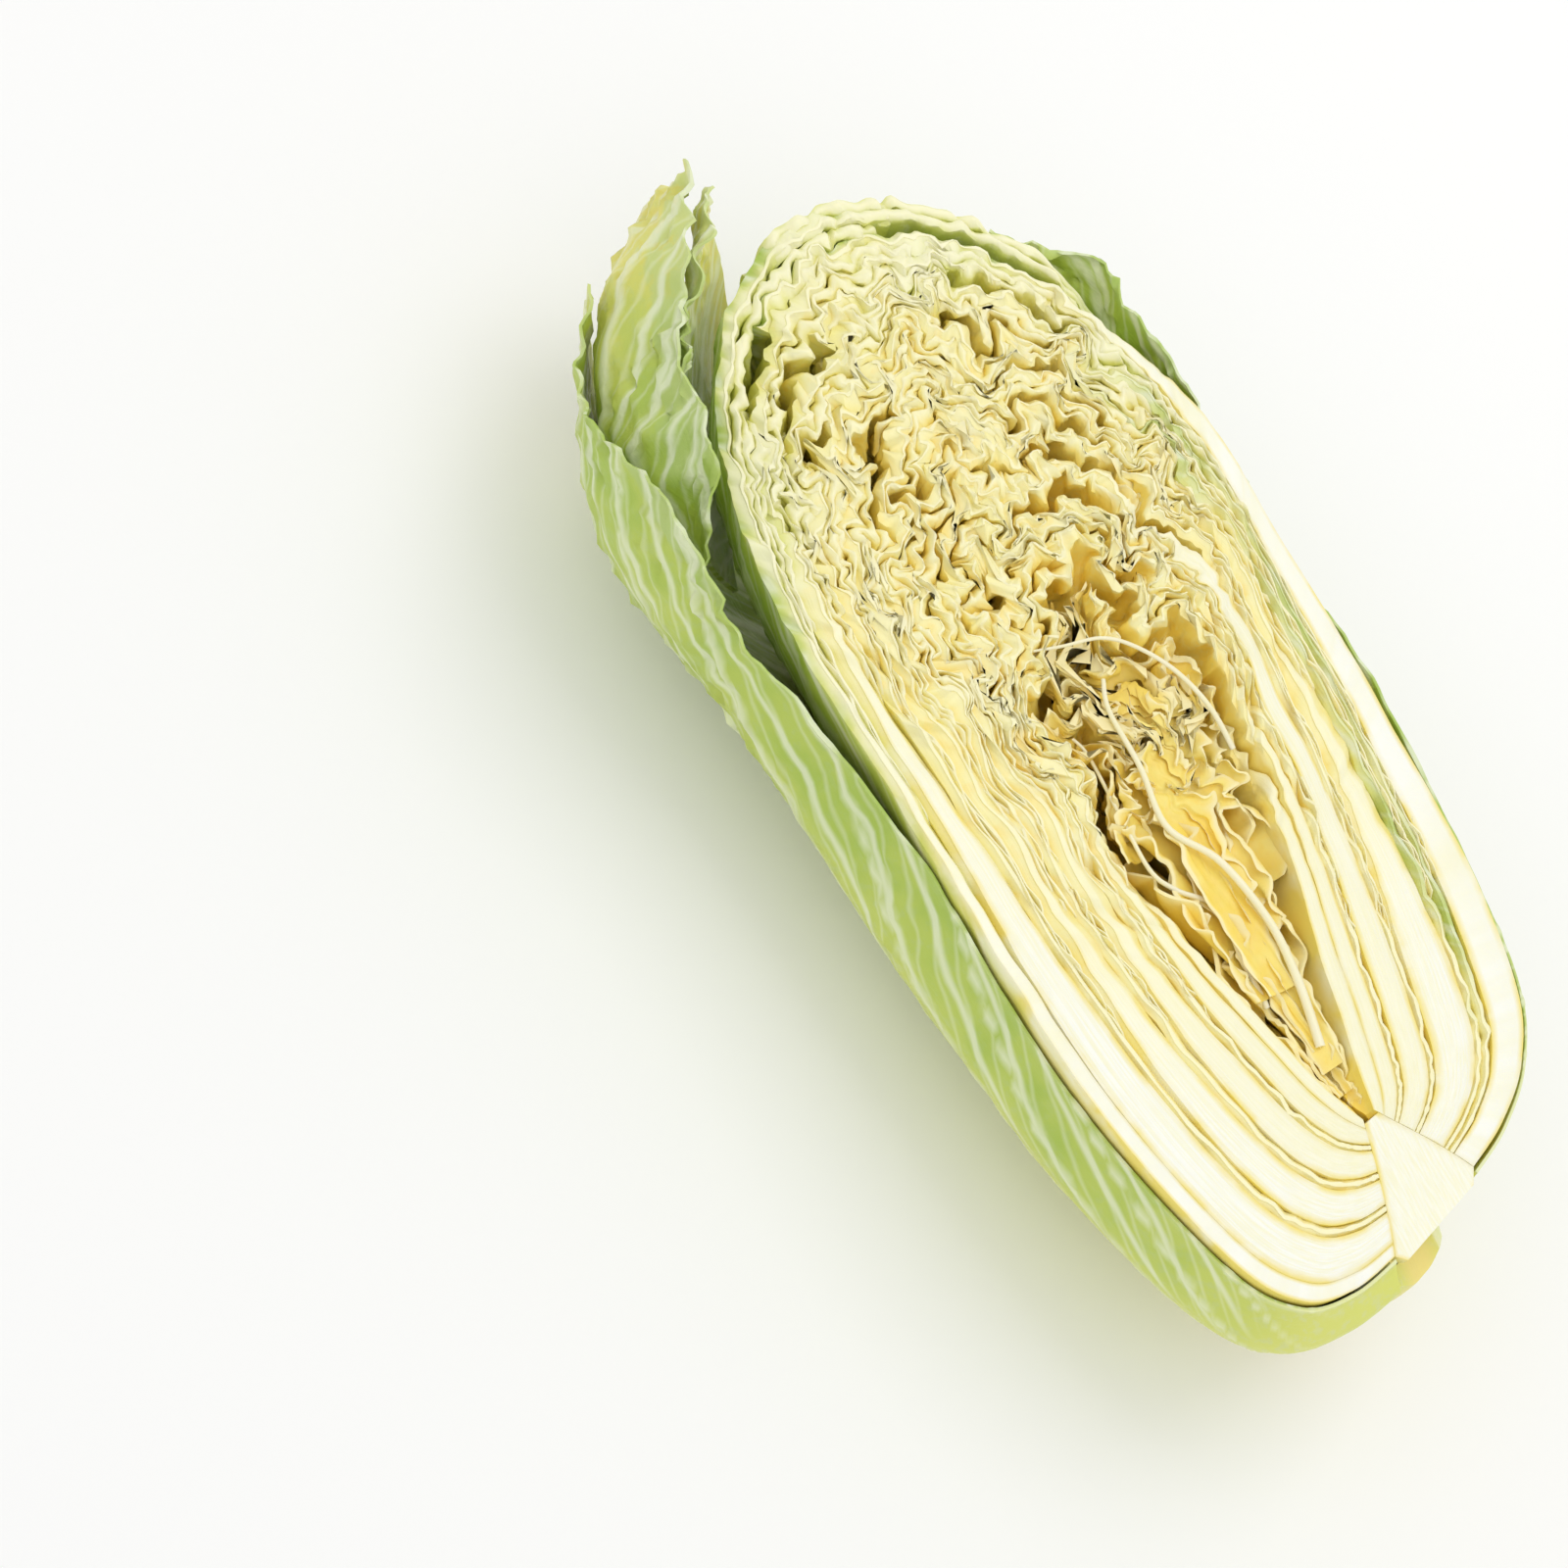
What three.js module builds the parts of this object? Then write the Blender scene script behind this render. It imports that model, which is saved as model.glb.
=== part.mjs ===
// Half a head of napa cabbage, cut lengthwise and lying on its rounded back with the cut face up.
// Every leaf is a solid of its own that grows from the cone-shaped stem core. The leaves lie in
// nested shells: half of them fold over from the left flank and half from the right, and they
// interleave at the crown. Three loose wrapper leaves form the outside.
//
// Head coordinates: x runs along the head from the root to the crown, y to the left flank of the
// cut face and z up, out of the cut. z = 0 is the plane of the cut and x = 0, y = 0 the root's axis.
// All sizes are in millimetres.
import * as THREE from "three";

const DEGREE = Math.PI / 180;

// Driving dimensions of the head
const CROWN_X = 290; // crown of the outermost cut leaf, from the root
const SHOULDER_X = 190; // where the flanks pass into the round crown
const SHOULDER_HALF_WIDTH = 69.5;
const HEART_CROWN_X = 167; // crown of the hollow round the heart
const HEART_SHOULDER_X = 115;
const HEART_HALF_WIDTH = 22;
const HEAD_DEPTH_RATIO = 0.86; // depth of a half shell over its half width
const HEART_DEPTH_RATIO = 1.1;
const REST_DEPTH = 68.1; // depth of the small flat spot that the head rests on, below the cut
const ROOT_DEEPER = 1.12; // the root half sags and the crown's underside rises: factors on the depth
const CROWN_SHALLOWER = 0.92;
const SAG_REACH = [100, 200];
const FLAT_START = 50; // below this depth the back is pressed flatter by its own weight
const FLAT_SOFTNESS = 30;
const ROOT_SLANT = 0.33; // the root end was trimmed at a slant: x lost for each mm of y
const ROOT_SLANT_REACH = 70;

// Half contours of the outermost shell and of the hollow, from the core up to the shoulder: x, half width
const OUTER_FLANK = [
  [-1, 16], [1, 30], [8, 44], [25, 55], [65, 64.5], [120, 67.5], [SHOULDER_X, SHOULDER_HALF_WIDTH],
];
const HEART_FLANK = [
  [27, 2], [30, 3], [34, 4.2], [43, 7], [62, 12], [88, 18.5], [HEART_SHOULDER_X, HEART_HALF_WIDTH],
];
const SHOULDER_T = 0.6; // share of a leaf's way from core to crown at which the shoulder lies
// Sideways drift of the head's middle line: x, y
const OUTER_MIDDLE = [[0, 0], [65, 5.5], [120, 7], [180, 10], [240, 12], [300, 13]];
const HEART_MIDDLE = [[0, 0], [46, 5], [66, 6], [90, 5.5], [120, 4], [170, 3], [300, 8]];

// Leaves of each flank, from the outermost in. rib: its share of the thickness, about the mm of its rib
// halfway up the head; ribEnd: share of the way to the crown where the rib has thinned to blade; ribAt:
// degrees below the cut at which the rib runs (0 = sliced by the cut); tip: how far past the crown's top
// the blade folds over, or short of it.
const LEFT_LEAVES = [
  { rib: 4.5, ribEnd: 0.62, ribAt: 10, tip: 0.06 },
  { rib: 11, ribEnd: 0.68, ribAt: 0, tip: 0.15 },
  { rib: 3, ribEnd: 0.45, ribAt: 60, tip: 0.05 },
  { rib: 9, ribEnd: 0.58, ribAt: 0, tip: 0.17 },
  { rib: 3, ribEnd: 0.45, ribAt: 70, tip: 0.08 },
  { rib: 8, ribEnd: 0.6, ribAt: 5, tip: 0.12 },
  { rib: 2.6, ribEnd: 0.5, ribAt: 60, tip: 0.02 },
  { rib: 6, ribEnd: 0.62, ribAt: 0, tip: 0.1 },
  { rib: 4, ribEnd: 0.62, ribAt: 15, tip: -0.04 },
];
const RIGHT_LEAVES = [
  { rib: 11, ribEnd: 0.86, ribAt: 0, tip: 0.14 },
  { rib: 3, ribEnd: 0.5, ribAt: 60, tip: 0.1 },
  { rib: 3, ribEnd: 0.45, ribAt: 70, tip: 0.16 },
  { rib: 13, ribEnd: 0.62, ribAt: 0, tip: 0.06 },
  { rib: 2.4, ribEnd: 0.5, ribAt: 60, tip: 0.14 },
  { rib: 8, ribEnd: 0.86, ribAt: 0, tip: 0.08 },
  { rib: 2.4, ribEnd: 0.5, ribAt: 70, tip: 0.12 },
  { rib: 5, ribEnd: 0.7, ribAt: 0, tip: 0.05 },
  { rib: 5, ribEnd: 0.72, ribAt: 10, tip: -0.02 },
];
const LEAF_GAP = 0.9; // clear space between neighbouring ribs, and between leaf and core
const BLADE = 1.5; // thickness of a leaf's blade

const mix = (a, b, k) => a + (b - a) * k;
const clamp = (v, low, high) => Math.min(high, Math.max(low, v));
// 0 up to low, 1 from high on and a soft step between; low may be the larger of the two
const smooth = (low, high, v) => {
  const k = clamp((v - low) / (high - low), 0, 1);
  return k * k * (3 - 2 * k);
};

// A smooth curve through evenly spaced pairs, read at share k of its length in points
function through(pairs, k) {
  const place = clamp(k, 0, 1) * (pairs.length - 1);
  const i = Math.min(Math.floor(place), pairs.length - 2);
  const f = place - i;
  const before = pairs[Math.max(i - 1, 0)];
  const after = pairs[Math.min(i + 2, pairs.length - 1)];
  return [0, 1].map((axis) => {
    const [a, b, c, d] = [before, pairs[i], pairs[i + 1], after].map((pair) => pair[axis]);
    return b + 0.5 * f * (c - a + f * (2 * a - 5 * b + 4 * c - d + f * (3 * (b - c) + d - a)));
  });
}

// y of a middle line at x, by straight pieces rounded off
function lineAt(pairs, x) {
  const i = clamp(pairs.filter(([px]) => px <= x).length, 1, pairs.length - 1);
  const [[x0, y0], [x1, y1]] = [pairs[i - 1], pairs[i]];
  return mix(y0, y1, smooth(x0, x1, x));
}

// Seeded draws, the same on every run
function draws(seed) {
  let state = seed >>> 0;
  return () => {
    state = (Math.imul(state, 1664525) + 1013904223) >>> 0;
    return state / 4294967296;
  };
}

// The shell at depth share `shell` (0 = outermost cut leaf, 1 = wall of the hollow): its half contour at t
function contour(shell, t) {
  let outer, heart;
  if (t < SHOULDER_T) {
    outer = through(OUTER_FLANK, t / SHOULDER_T);
    heart = through(HEART_FLANK, t / SHOULDER_T);
  } else {
    const turn = ((t - SHOULDER_T) / (1 - SHOULDER_T)) * 90 * DEGREE;
    outer = [SHOULDER_X + (CROWN_X - SHOULDER_X) * Math.sin(turn), SHOULDER_HALF_WIDTH * Math.cos(turn)];
    heart = [
      HEART_SHOULDER_X + (HEART_CROWN_X - HEART_SHOULDER_X) * Math.sin(turn),
      HEART_HALF_WIDTH * Math.cos(turn),
    ];
  }
  return {
    x: mix(outer[0], heart[0], shell),
    w: mix(outer[1], heart[1], shell),
    spread: Math.hypot(outer[0] - heart[0], outer[1] - heart[1]),
  };
}

// Crinkle of the packed blades: a smooth sideways stirring of everything inside the crown.
// The stirring moves neighbouring leaves together, so no leaf is pushed through another.
const STIR_SEED = 77;
const STIR_WAVES = 14;
const STIR_LENGTHS = [30, 54];
const STIR_STEPS = 5;
const STIR_TRAVEL = 5;
const STIR_START = [95, 160]; // x over which the stirring sets in
const STIR_EDGE = [0.5, 0.97]; // shares of the half width over which it dies out towards the outside
const STIR_FADE = [24, 50]; // depths between which the stirring dies out
const stirDraw = draws(STIR_SEED);
const stirWaves = Array.from({ length: STIR_WAVES }, () => {
  const bearing = stirDraw() * 360 * DEGREE;
  const number = (2 * Math.PI) / mix(...STIR_LENGTHS, stirDraw());
  return {
    kx: number * Math.cos(bearing),
    ky: number * Math.sin(bearing),
    kz: number * (stirDraw() - 0.5),
    phase: stirDraw() * 360 * DEGREE,
  };
});

function stirReach(x, y) {
  const side = (y - lineAt(OUTER_MIDDLE, x)) / SHOULDER_HALF_WIDTH;
  const along = Math.max(0, (x - SHOULDER_X) / (CROWN_X - SHOULDER_X));
  return smooth(...STIR_START, x) * (1 - smooth(...STIR_EDGE, Math.hypot(side, along)));
}

function stir([x, y, z]) {
  const shallow = 1 - smooth(...STIR_FADE, -z);
  const speed = (px, py) => {
    let sx = 0, sy = 0;
    for (const wave of stirWaves) {
      const s = Math.sin(wave.kx * px + wave.ky * py + wave.kz * z + wave.phase) / Math.hypot(wave.kx, wave.ky);
      sx += wave.ky * s;
      sy -= wave.kx * s;
    }
    const strength = (stirReach(px, py) * shallow * STIR_TRAVEL) / Math.sqrt(STIR_WAVES / 2);
    return [sx * strength, sy * strength];
  };
  for (let i = 0; i < STIR_STEPS; i++) {
    const [ax, ay] = speed(x, y);
    const [bx, by] = speed(x + (ax * 0.5) / STIR_STEPS, y + (ay * 0.5) / STIR_STEPS);
    x += bx / STIR_STEPS;
    y += by / STIR_STEPS;
  }
  return [x, y, z];
}

// From the evenly shaped head to the real one: drifting middle, slanted root, back pressed flat by its weight
function settle([x, y, z], shell) {
  const inward = clamp(shell, 0, 1);
  const middle = mix(lineAt(OUTER_MIDDLE, x), lineAt(HEART_MIDDLE, x), inward);
  const side = y + middle;
  const slanted = x - ROOT_SLANT * side * (1 - smooth(0, ROOT_SLANT_REACH, x));
  const sag = -z * mix(ROOT_DEEPER, CROWN_SHALLOWER, smooth(...SAG_REACH, x));
  const low = sag - FLAT_START;
  const depth = low > 0 ? FLAT_START + FLAT_SOFTNESS * Math.tanh(low / FLAT_SOFTNESS) : sag;
  return [slanted, side, -Math.min(depth, REST_DEPTH)];
}

function depthRatio(shell) {
  return mix(HEAD_DEPTH_RATIO, HEART_DEPTH_RATIO, clamp(shell, 0, 1));
}

// A point of a leaf that folds over the crown. way: 0 at the core, 1 at the crown's top, over 1 past it;
// below: degrees down from the cut along the shell; flank: +1 left, -1 right.
function foldedPoint(shell, way, below, flank) {
  const t = way <= 1 ? way : 2 - way;
  const side = way <= 1 ? flank : -flank;
  const { x, w } = contour(shell, t);
  const angle = below * DEGREE;
  const ratio = depthRatio(shell);
  if (t < SHOULDER_T)
    return settle([x, side * w * Math.cos(angle), -ratio * w * Math.sin(angle)], shell);
  const shoulder = contour(shell, SHOULDER_T);
  return settle([
    shoulder.x + (x - shoulder.x) * Math.cos(angle),
    side * w * Math.cos(angle),
    -ratio * shoulder.w * Math.sin(angle),
  ], shell);
}

// Distance in mm from the outermost shell to the hollow, at t and so many degrees below the cut
function spreadAt(t, below) {
  const [outer, heart] = [contour(0, Math.min(t, SHOULDER_T)), contour(1, Math.min(t, SHOULDER_T))];
  const deep = HEAD_DEPTH_RATIO * outer.w - HEART_DEPTH_RATIO * heart.w;
  const angle = below * DEGREE;
  return Math.hypot(contour(0, t).spread * Math.cos(angle), deep * Math.sin(angle));
}

// A closed thin solid between two faces, each a function of u (root to tip) and v (edge to edge)
function sheet(uStops, vStops, outer, inner) {
  const positions = [];
  const index = [];
  const across = vStops.length;
  for (const face of [outer, inner])
    for (const u of uStops)
      for (const v of vStops) positions.push(...face(u, v));
  const offset = uStops.length * across;
  const at = (face, i, j) => face * offset + i * across + j;
  const quad = (a, b, c, d) => index.push(a, b, c, a, c, d);
  for (let i = 0; i < uStops.length - 1; i++)
    for (let j = 0; j < across - 1; j++) {
      quad(at(0, i, j), at(0, i, j + 1), at(0, i + 1, j + 1), at(0, i + 1, j));
      quad(at(1, i, j), at(1, i + 1, j), at(1, i + 1, j + 1), at(1, i, j + 1));
    }
  for (let i = 0; i < uStops.length - 1; i++) {
    quad(at(0, i, 0), at(0, i + 1, 0), at(1, i + 1, 0), at(1, i, 0));
    quad(at(0, i, across - 1), at(1, i, across - 1), at(1, i + 1, across - 1), at(0, i + 1, across - 1));
  }
  for (let j = 0; j < across - 1; j++) {
    quad(at(0, 0, j), at(1, 0, j), at(1, 0, j + 1), at(0, 0, j + 1));
    const last = uStops.length - 1;
    quad(at(0, last, j), at(0, last, j + 1), at(1, last, j + 1), at(1, last, j));
  }
  return new THREE.BufferGeometry()
    .setAttribute("position", new THREE.BufferAttribute(new Float32Array(positions), 3))
    .setIndex(index);
}

// Turns the faces round if the solid came out inside out
function facingOut(geometry) {
  const p = geometry.attributes.position;
  const index = geometry.index.array;
  const [a, b, c] = [new THREE.Vector3(), new THREE.Vector3(), new THREE.Vector3()];
  let volume = 0;
  for (let i = 0; i < index.length; i += 3) {
    a.fromBufferAttribute(p, index[i]);
    b.fromBufferAttribute(p, index[i + 1]);
    c.fromBufferAttribute(p, index[i + 2]);
    volume += a.dot(b.cross(c));
  }
  if (volume < 0)
    for (let i = 0; i < index.length; i += 3) [index[i + 1], index[i + 2]] = [index[i + 2], index[i + 1]];
  geometry.computeVertexNormals();
  return geometry;
}

const stops = (count, low, high) => Array.from({ length: count + 1 }, (_, i) => mix(low, high, i / count));

// Colours and finishes
const finish = (colour) => new THREE.MeshStandardMaterial({ color: colour, roughness: 0.5, metalness: 0 });
const CREAM = finish(0xf4f0cf);
const PALE_GREEN = finish(0xb4c878);
const PALE_YELLOW = finish(0xefe7a0);
const GOLD = finish(0xe3b436);

const head = new THREE.Group();
function add(name, geometry, material) {
  const mesh = new THREE.Mesh(facingOut(geometry), material);
  mesh.name = name;
  head.add(mesh);
}

// Places along a leaf and round the shell at which its faces bend. They are the same for every leaf, so
// that neighbouring leaves stay parallel.
const WAY_STEP_FLANK = 0.05;
const WAY_STEP_CROWN = 0.035;
const CROWN_WAY = 0.55;
const BELOW_STOPS = [0, 12, 32, 60];
const MARGIN_STOP = 90; // stands for the lower margin, wherever it runs
const wayStops = (end) => {
  const list = stops(Math.round(CROWN_WAY / WAY_STEP_FLANK), 0, CROWN_WAY);
  for (let way = CROWN_WAY + WAY_STEP_CROWN; way < end - 0.4 * WAY_STEP_CROWN; way += WAY_STEP_CROWN)
    list.push(way);
  return [...list, end];
};

// One cut leaf of a flank
const LEAF_COUNT = LEFT_LEAVES.length;
const ROOT_REACH = 60; // degrees below the cut to which a leaf wraps where it grows from the core,
const LEAF_REACH = 83; // on the flank
const CROWN_REACH = 79; // and at the crown
const MARGIN_WAVE = 2.5; // degrees by which the lower margin waves,
const MARGIN_WAVES = 26; // and how fast along the way
const RIM_WAVE = 1.6; // the same of the cut rim in the crown
const RIM_WAVES = 44;
const WIDENING = [0, 0.12]; // ways over which a leaf widens from the core
const CLOSING = [0.45, 0.8]; // ways over which its reach narrows to that of the crown
const WAVING = [0.3, 0.6]; // ways over which the margin starts to wave
const CRINKLING = [0.45, 0.7]; // and the cut rim
const EVENING = [0.35, 0.75]; // ways over which thick and thin leaves come to share the space evenly
const INTERLEAVING = [0.64, 0.76]; // ways over which the leaves of the two flanks come to alternate
const RIB_FADE = 0.28; // way over which a rib thins to blade
const RIB_SIDES = [8, 52]; // degrees from the rib's middle over which it thins
const THINNEST_HALF = 0.35;

function slotEdges(leaves) {
  const total = leaves.reduce((sum, leaf) => sum + leaf.rib, 0);
  let sum = 0;
  return [0, ...leaves.map((leaf) => (sum += leaf.rib) / total)];
}

function cutLeaf(leaves, k, flank) {
  const leaf = leaves[k];
  const edges = slotEdges(leaves);
  const draw = draws(1000 + 37 * k + (flank > 0 ? 0 : 500));
  const [margin, rim] = [draw() * 360 * DEGREE, draw() * 360 * DEGREE];
  // Degrees below the cut at a stop, with the waves of the margin and of the cut rim
  const fall = (way, stop) => {
    const widened = smooth(...WIDENING, way);
    if (stop === 0) return RIM_WAVE * Math.sin(way * RIM_WAVES + rim) * smooth(...CRINKLING, way);
    if (stop < MARGIN_STOP) return stop * mix(ROOT_REACH / LEAF_REACH, 1, widened);
    const reach = mix(mix(ROOT_REACH + 6, LEAF_REACH, widened), CROWN_REACH, smooth(...CLOSING, way));
    return reach + MARGIN_WAVE * Math.sin(way * MARGIN_WAVES + margin) * smooth(...WAVING, way);
  };
  const face = (sign) => (way, stop) => {
    const t = way <= 1 ? way : 2 - way;
    const below = fall(way, stop);
    const even = smooth(...EVENING, t);
    const low = mix(edges[k], k / LEAF_COUNT, even);
    const high = mix(edges[k + 1], (k + 1) / LEAF_COUNT, even);
    const shared = smooth(...INTERLEAVING, t);
    const middle = mix(0.5, flank > 0 ? 0.25 : 0.75, shared);
    const spread = spreadAt(t, below);
    const ribHalf = 0.5 * (high - low) * spread * mix(1, 0.5, shared) - 0.5 * LEAF_GAP;
    const nearRib = 1 - smooth(...RIB_SIDES, Math.abs(below - leaf.ribAt));
    const rib = (1 - smooth(leaf.ribEnd - RIB_FADE, leaf.ribEnd, t)) * nearRib;
    const half = Math.max(THINNEST_HALF, Math.min(ribHalf, mix(0.5 * BLADE, ribHalf, rib)));
    const shell = low + middle * (high - low) + (sign * half) / spread;
    return stir(foldedPoint(shell, way, below, flank));
  };
  return sheet(wayStops(1 + leaf.tip), [...BELOW_STOPS, MARGIN_STOP], face(-1), face(1));
}

for (let k = 0; k < LEAF_COUNT; k++) {
  const tone = k < 2 ? PALE_YELLOW : k > 6 ? GOLD : CREAM;
  add(`left_leaf_${k + 1}`, cutLeaf(LEFT_LEAVES, k, 1), tone);
  add(`right_leaf_${k + 1}`, cutLeaf(RIGHT_LEAVES, k, -1), tone);
}

// Small curled leaves of the heart, nested in the hollow. ring: size against the hollow; from, to: degrees
// round from the left wall; start, end: way along the hollow
const HEART_LEAVES = [
  { ring: 0.76, from: 4, to: 78, start: 0.08, end: 0.96 },
  { ring: 0.74, from: 98, to: 175, start: 0.08, end: 0.88 },
  { ring: 0.5, from: 14, to: 96, start: 0.2, end: 0.8 },
  { ring: 0.5, from: 112, to: 168, start: 0.2, end: 0.86 },
  { ring: 0.2, from: 30, to: 150, start: 0.32, end: 0.74 },
];
const HEART_BLADE = 1.1;
const HEART_FRILL = 0.07; // share by which a heart leaf swells and shrinks along its frills
const HEART_FRILLS = 40;
const HEART_FRILLING = [0.4, 0.6]; // ways over which the frills set in
const HEART_THICKENING = 0.2; // way over which a heart leaf thickens from its start
const HEART_STEPS = 13;
const HEART_SIDES = 5;

function heartLeaf({ ring, from, to, start, end }) {
  const face = (sign) => (way, round) => {
    const { x, w } = contour(1, way);
    const shoulder = contour(1, Math.min(way, SHOULDER_T));
    const half = 0.5 * HEART_BLADE * mix(0.7, 1, smooth(start, start + HEART_THICKENING, way));
    const frilling = HEART_FRILL * smooth(...HEART_FRILLING, way);
    const frill = 1 + frilling * Math.sin(way * HEART_FRILLS + round * 0.05);
    const size = ring * frill + (sign * half) / Math.max(shoulder.w, 4);
    const angle = round * DEGREE;
    return stir(settle([
      shoulder.x + (x - shoulder.x) * size,
      size * w * Math.cos(angle),
      -HEART_DEPTH_RATIO * size * shoulder.w * Math.sin(angle),
    ], 1));
  };
  return sheet(stops(HEART_STEPS, start, end), stops(HEART_SIDES, from, to), face(1), face(-1));
}

HEART_LEAVES.forEach((leaf, i) => add(`heart_leaf_${i + 1}`, heartLeaf(leaf), GOLD));

// Loose wrapper leaves round the outside. rows: way, degrees below the cut of the upper and the lower
// margin, mm by which the blade stands off the cut leaves on the flank and under the head, and mm by
// which the upper margin leans back in (less than 0: flares out)
const WRAPPERS = [
  {
    name: "wrapper_left_inner",
    flank: 1,
    ribAt: 56,
    rib: 3,
    rows: [
      [0, 15, 84, 0.6, 0.7, 0], [0.06, 16, 84, 0.6, 0.8, 0], [0.3, 18, 84, 0.8, 1, 0],
      [0.5, 20, 84, 1.6, 2, 0], [0.6, 20, 80, 6, 3, 0], [0.65, 12, 77, 13, 4, 3],
      [0.68, 0, 74, 18, 5, 11], [0.7, -8, 70, 20, 5, 13], [0.74, -10, 62, 24, 7, 15],
      [0.79, -7, 50, 27, 12, 14], [0.84, -9, 38, 29, 20, 14], [0.88, -6, 30, 31, 28, 12],
      [0.915, -3, 24, 34, 34, 9],
    ],
  },
  {
    name: "wrapper_right",
    flank: -1,
    ribAt: 56,
    rib: 2,
    rows: [
      [0, 1, 84, 1.1, 1.1, 0], [0.3, 1, 84, 1, 1, 0], [0.6, 2, 83, 0.9, 1.2, 0],
      [0.72, 1, 81, 1.2, 1.5, 0], [0.745, -3, 78, 2, 2, -5], [0.765, -3, 75, 2.6, 2.2, -6],
      [0.8, 0, 68, 2.8, 2.8, -2], [0.84, 3, 56, 3.6, 3.6, 0],
    ],
  },
  {
    name: "wrapper_left_outer",
    flank: 1,
    ribAt: 88,
    rib: 7,
    rows: [
      [0, 1, 112, 3.6, 4.4, 3], [0.06, 2, 120, 3.8, 5.4, 3.2], [0.3, 3, 132, 4.4, 5.4, 3.8],
      [0.42, 4, 136, 7, 5.3, 6.2], [0.5, 5, 134, 11, 5.2, 10], [0.55, 4, 114, 14, 5.4, 11],
      [0.59, 1, 92, 17.5, 6, 8], [0.66, -4, 82, 24, 7.4, 6], [0.7, -1, 80, 28, 7.8, 5],
      [0.75, 5, 79, 32, 8, 3], [0.79, 9, 77, 35, 8.6, 3], [0.84, 7, 74, 37, 10, 3],
    ],
  },
];
const WRAPPER_BLADE = 1.4;
const WRAPPER_SIDES = 9;
const WRAPPER_WAVE = 1.2; // mm by which the blade waves in and out
const UPPER_WAVE = 2.5; // degrees by which the upper margin waves,
const LOWER_WAVE = 4; // and the lower one where it wraps under the head
const UNDERSIDE = [35, 78]; // degrees below the cut between which a flank passes into the underside
const LOOSENING = [0.3, 0.6]; // ways over which the margins start to wave
const LEAN_WIDTH = 24; // degrees of the blade below the upper margin that lean with it
const MARGIN_WIDTH = 20; // degrees over which the blade thickens from its upper margin
const MIDRIB_SIDES = [6, 36]; // degrees from the midrib's middle over which it thins
const MIDRIB_FADE = [0.3, 0.75]; // ways over which it thins to blade

// Values of a wrapper's rows at a way
function rowAt(rows, way) {
  const i = clamp(rows.filter((row) => row[0] <= way).length, 1, rows.length - 1);
  const k = (way - rows[i - 1][0]) / (rows[i][0] - rows[i - 1][0]);
  return rows[i].map((value, column) => mix(rows[i - 1][column], value, clamp(k, 0, 1)));
}

// A point that stands off the outermost cut leaf by off mm
function outsidePoint(off, way, below, flank) {
  const { x, w } = contour(0, way);
  const [back, ahead] = [contour(0, Math.max(way - 0.01, 0)), contour(0, Math.min(way + 0.01, 1))];
  const length = Math.hypot(ahead.x - back.x, ahead.w - back.w);
  const px = x - (off * (ahead.w - back.w)) / length;
  const pw = w + (off * (ahead.x - back.x)) / length;
  const angle = below * DEGREE;
  const round = smooth(SHOULDER_T - 0.04, SHOULDER_T + 0.04, way);
  const lean = mix(1, Math.cos(angle), round);
  return settle([
    SHOULDER_X + (px - SHOULDER_X) * lean,
    flank * pw * Math.cos(angle),
    -HEAD_DEPTH_RATIO * mix(pw, SHOULDER_HALF_WIDTH + off, round) * Math.sin(angle),
  ], 0);
}

function wrapperLeaf({ flank, ribAt, rib, rows }, seed) {
  const draw = draws(seed);
  const [upper, lower, wave] = [0, 1, 2].map(() => draw() * 360 * DEGREE);
  const end = rows.at(-1)[0];
  const face = (sign) => (way, v) => {
    const [, from, to, offFlank, offUnder, leanIn] = rowAt(rows, way);
    const loose = smooth(...LOOSENING, way);
    const low = from + UPPER_WAVE * Math.sin(way * 31 + upper) * loose;
    const high = to - LOWER_WAVE * Math.sin(way * 27 + lower) * loose * smooth(84, 100, to);
    const below = mix(low, high, v);
    const nearRib = 1 - smooth(...MIDRIB_SIDES, Math.abs(below - ribAt));
    const edge = smooth(0, MARGIN_WIDTH, below - low);
    const thick = (1 - smooth(...MIDRIB_FADE, way)) * mix(0.55, 1, nearRib) * edge;
    const half = 0.5 * mix(WRAPPER_BLADE, rib, thick);
    const ripple = Math.sin(way * 29 + below * 0.1 + wave) * smooth(...CRINKLING, way);
    const under = smooth(...UNDERSIDE, below);
    const waved = WRAPPER_WAVE * ripple * (1 - nearRib) * (1 - under);
    const lean = leanIn * (1 - smooth(low, low + LEAN_WIDTH, below));
    const off = mix(offFlank, offUnder, under) - lean;
    return outsidePoint(off + half + waved - sign * half, way, below, flank);
  };
  return sheet(wayStops(end), stops(WRAPPER_SIDES, 0, 1), face(-1), face(1));
}

WRAPPERS.forEach((wrapper, i) => add(wrapper.name, wrapperLeaf(wrapper, 300 + i), PALE_GREEN));

// The stem core: half a cone whose side is the root ends of all the leaves, with the cut stump below
const CORE_GAP = 0.8;
const CORE_STATIONS = 8;
const CORE_SIDES = 10;
const CORE_TIP = 0.96; // shell at which the cone ends
const STUMP_LENGTH = 3;
const STUMP_TAPER = 2.5;

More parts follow.
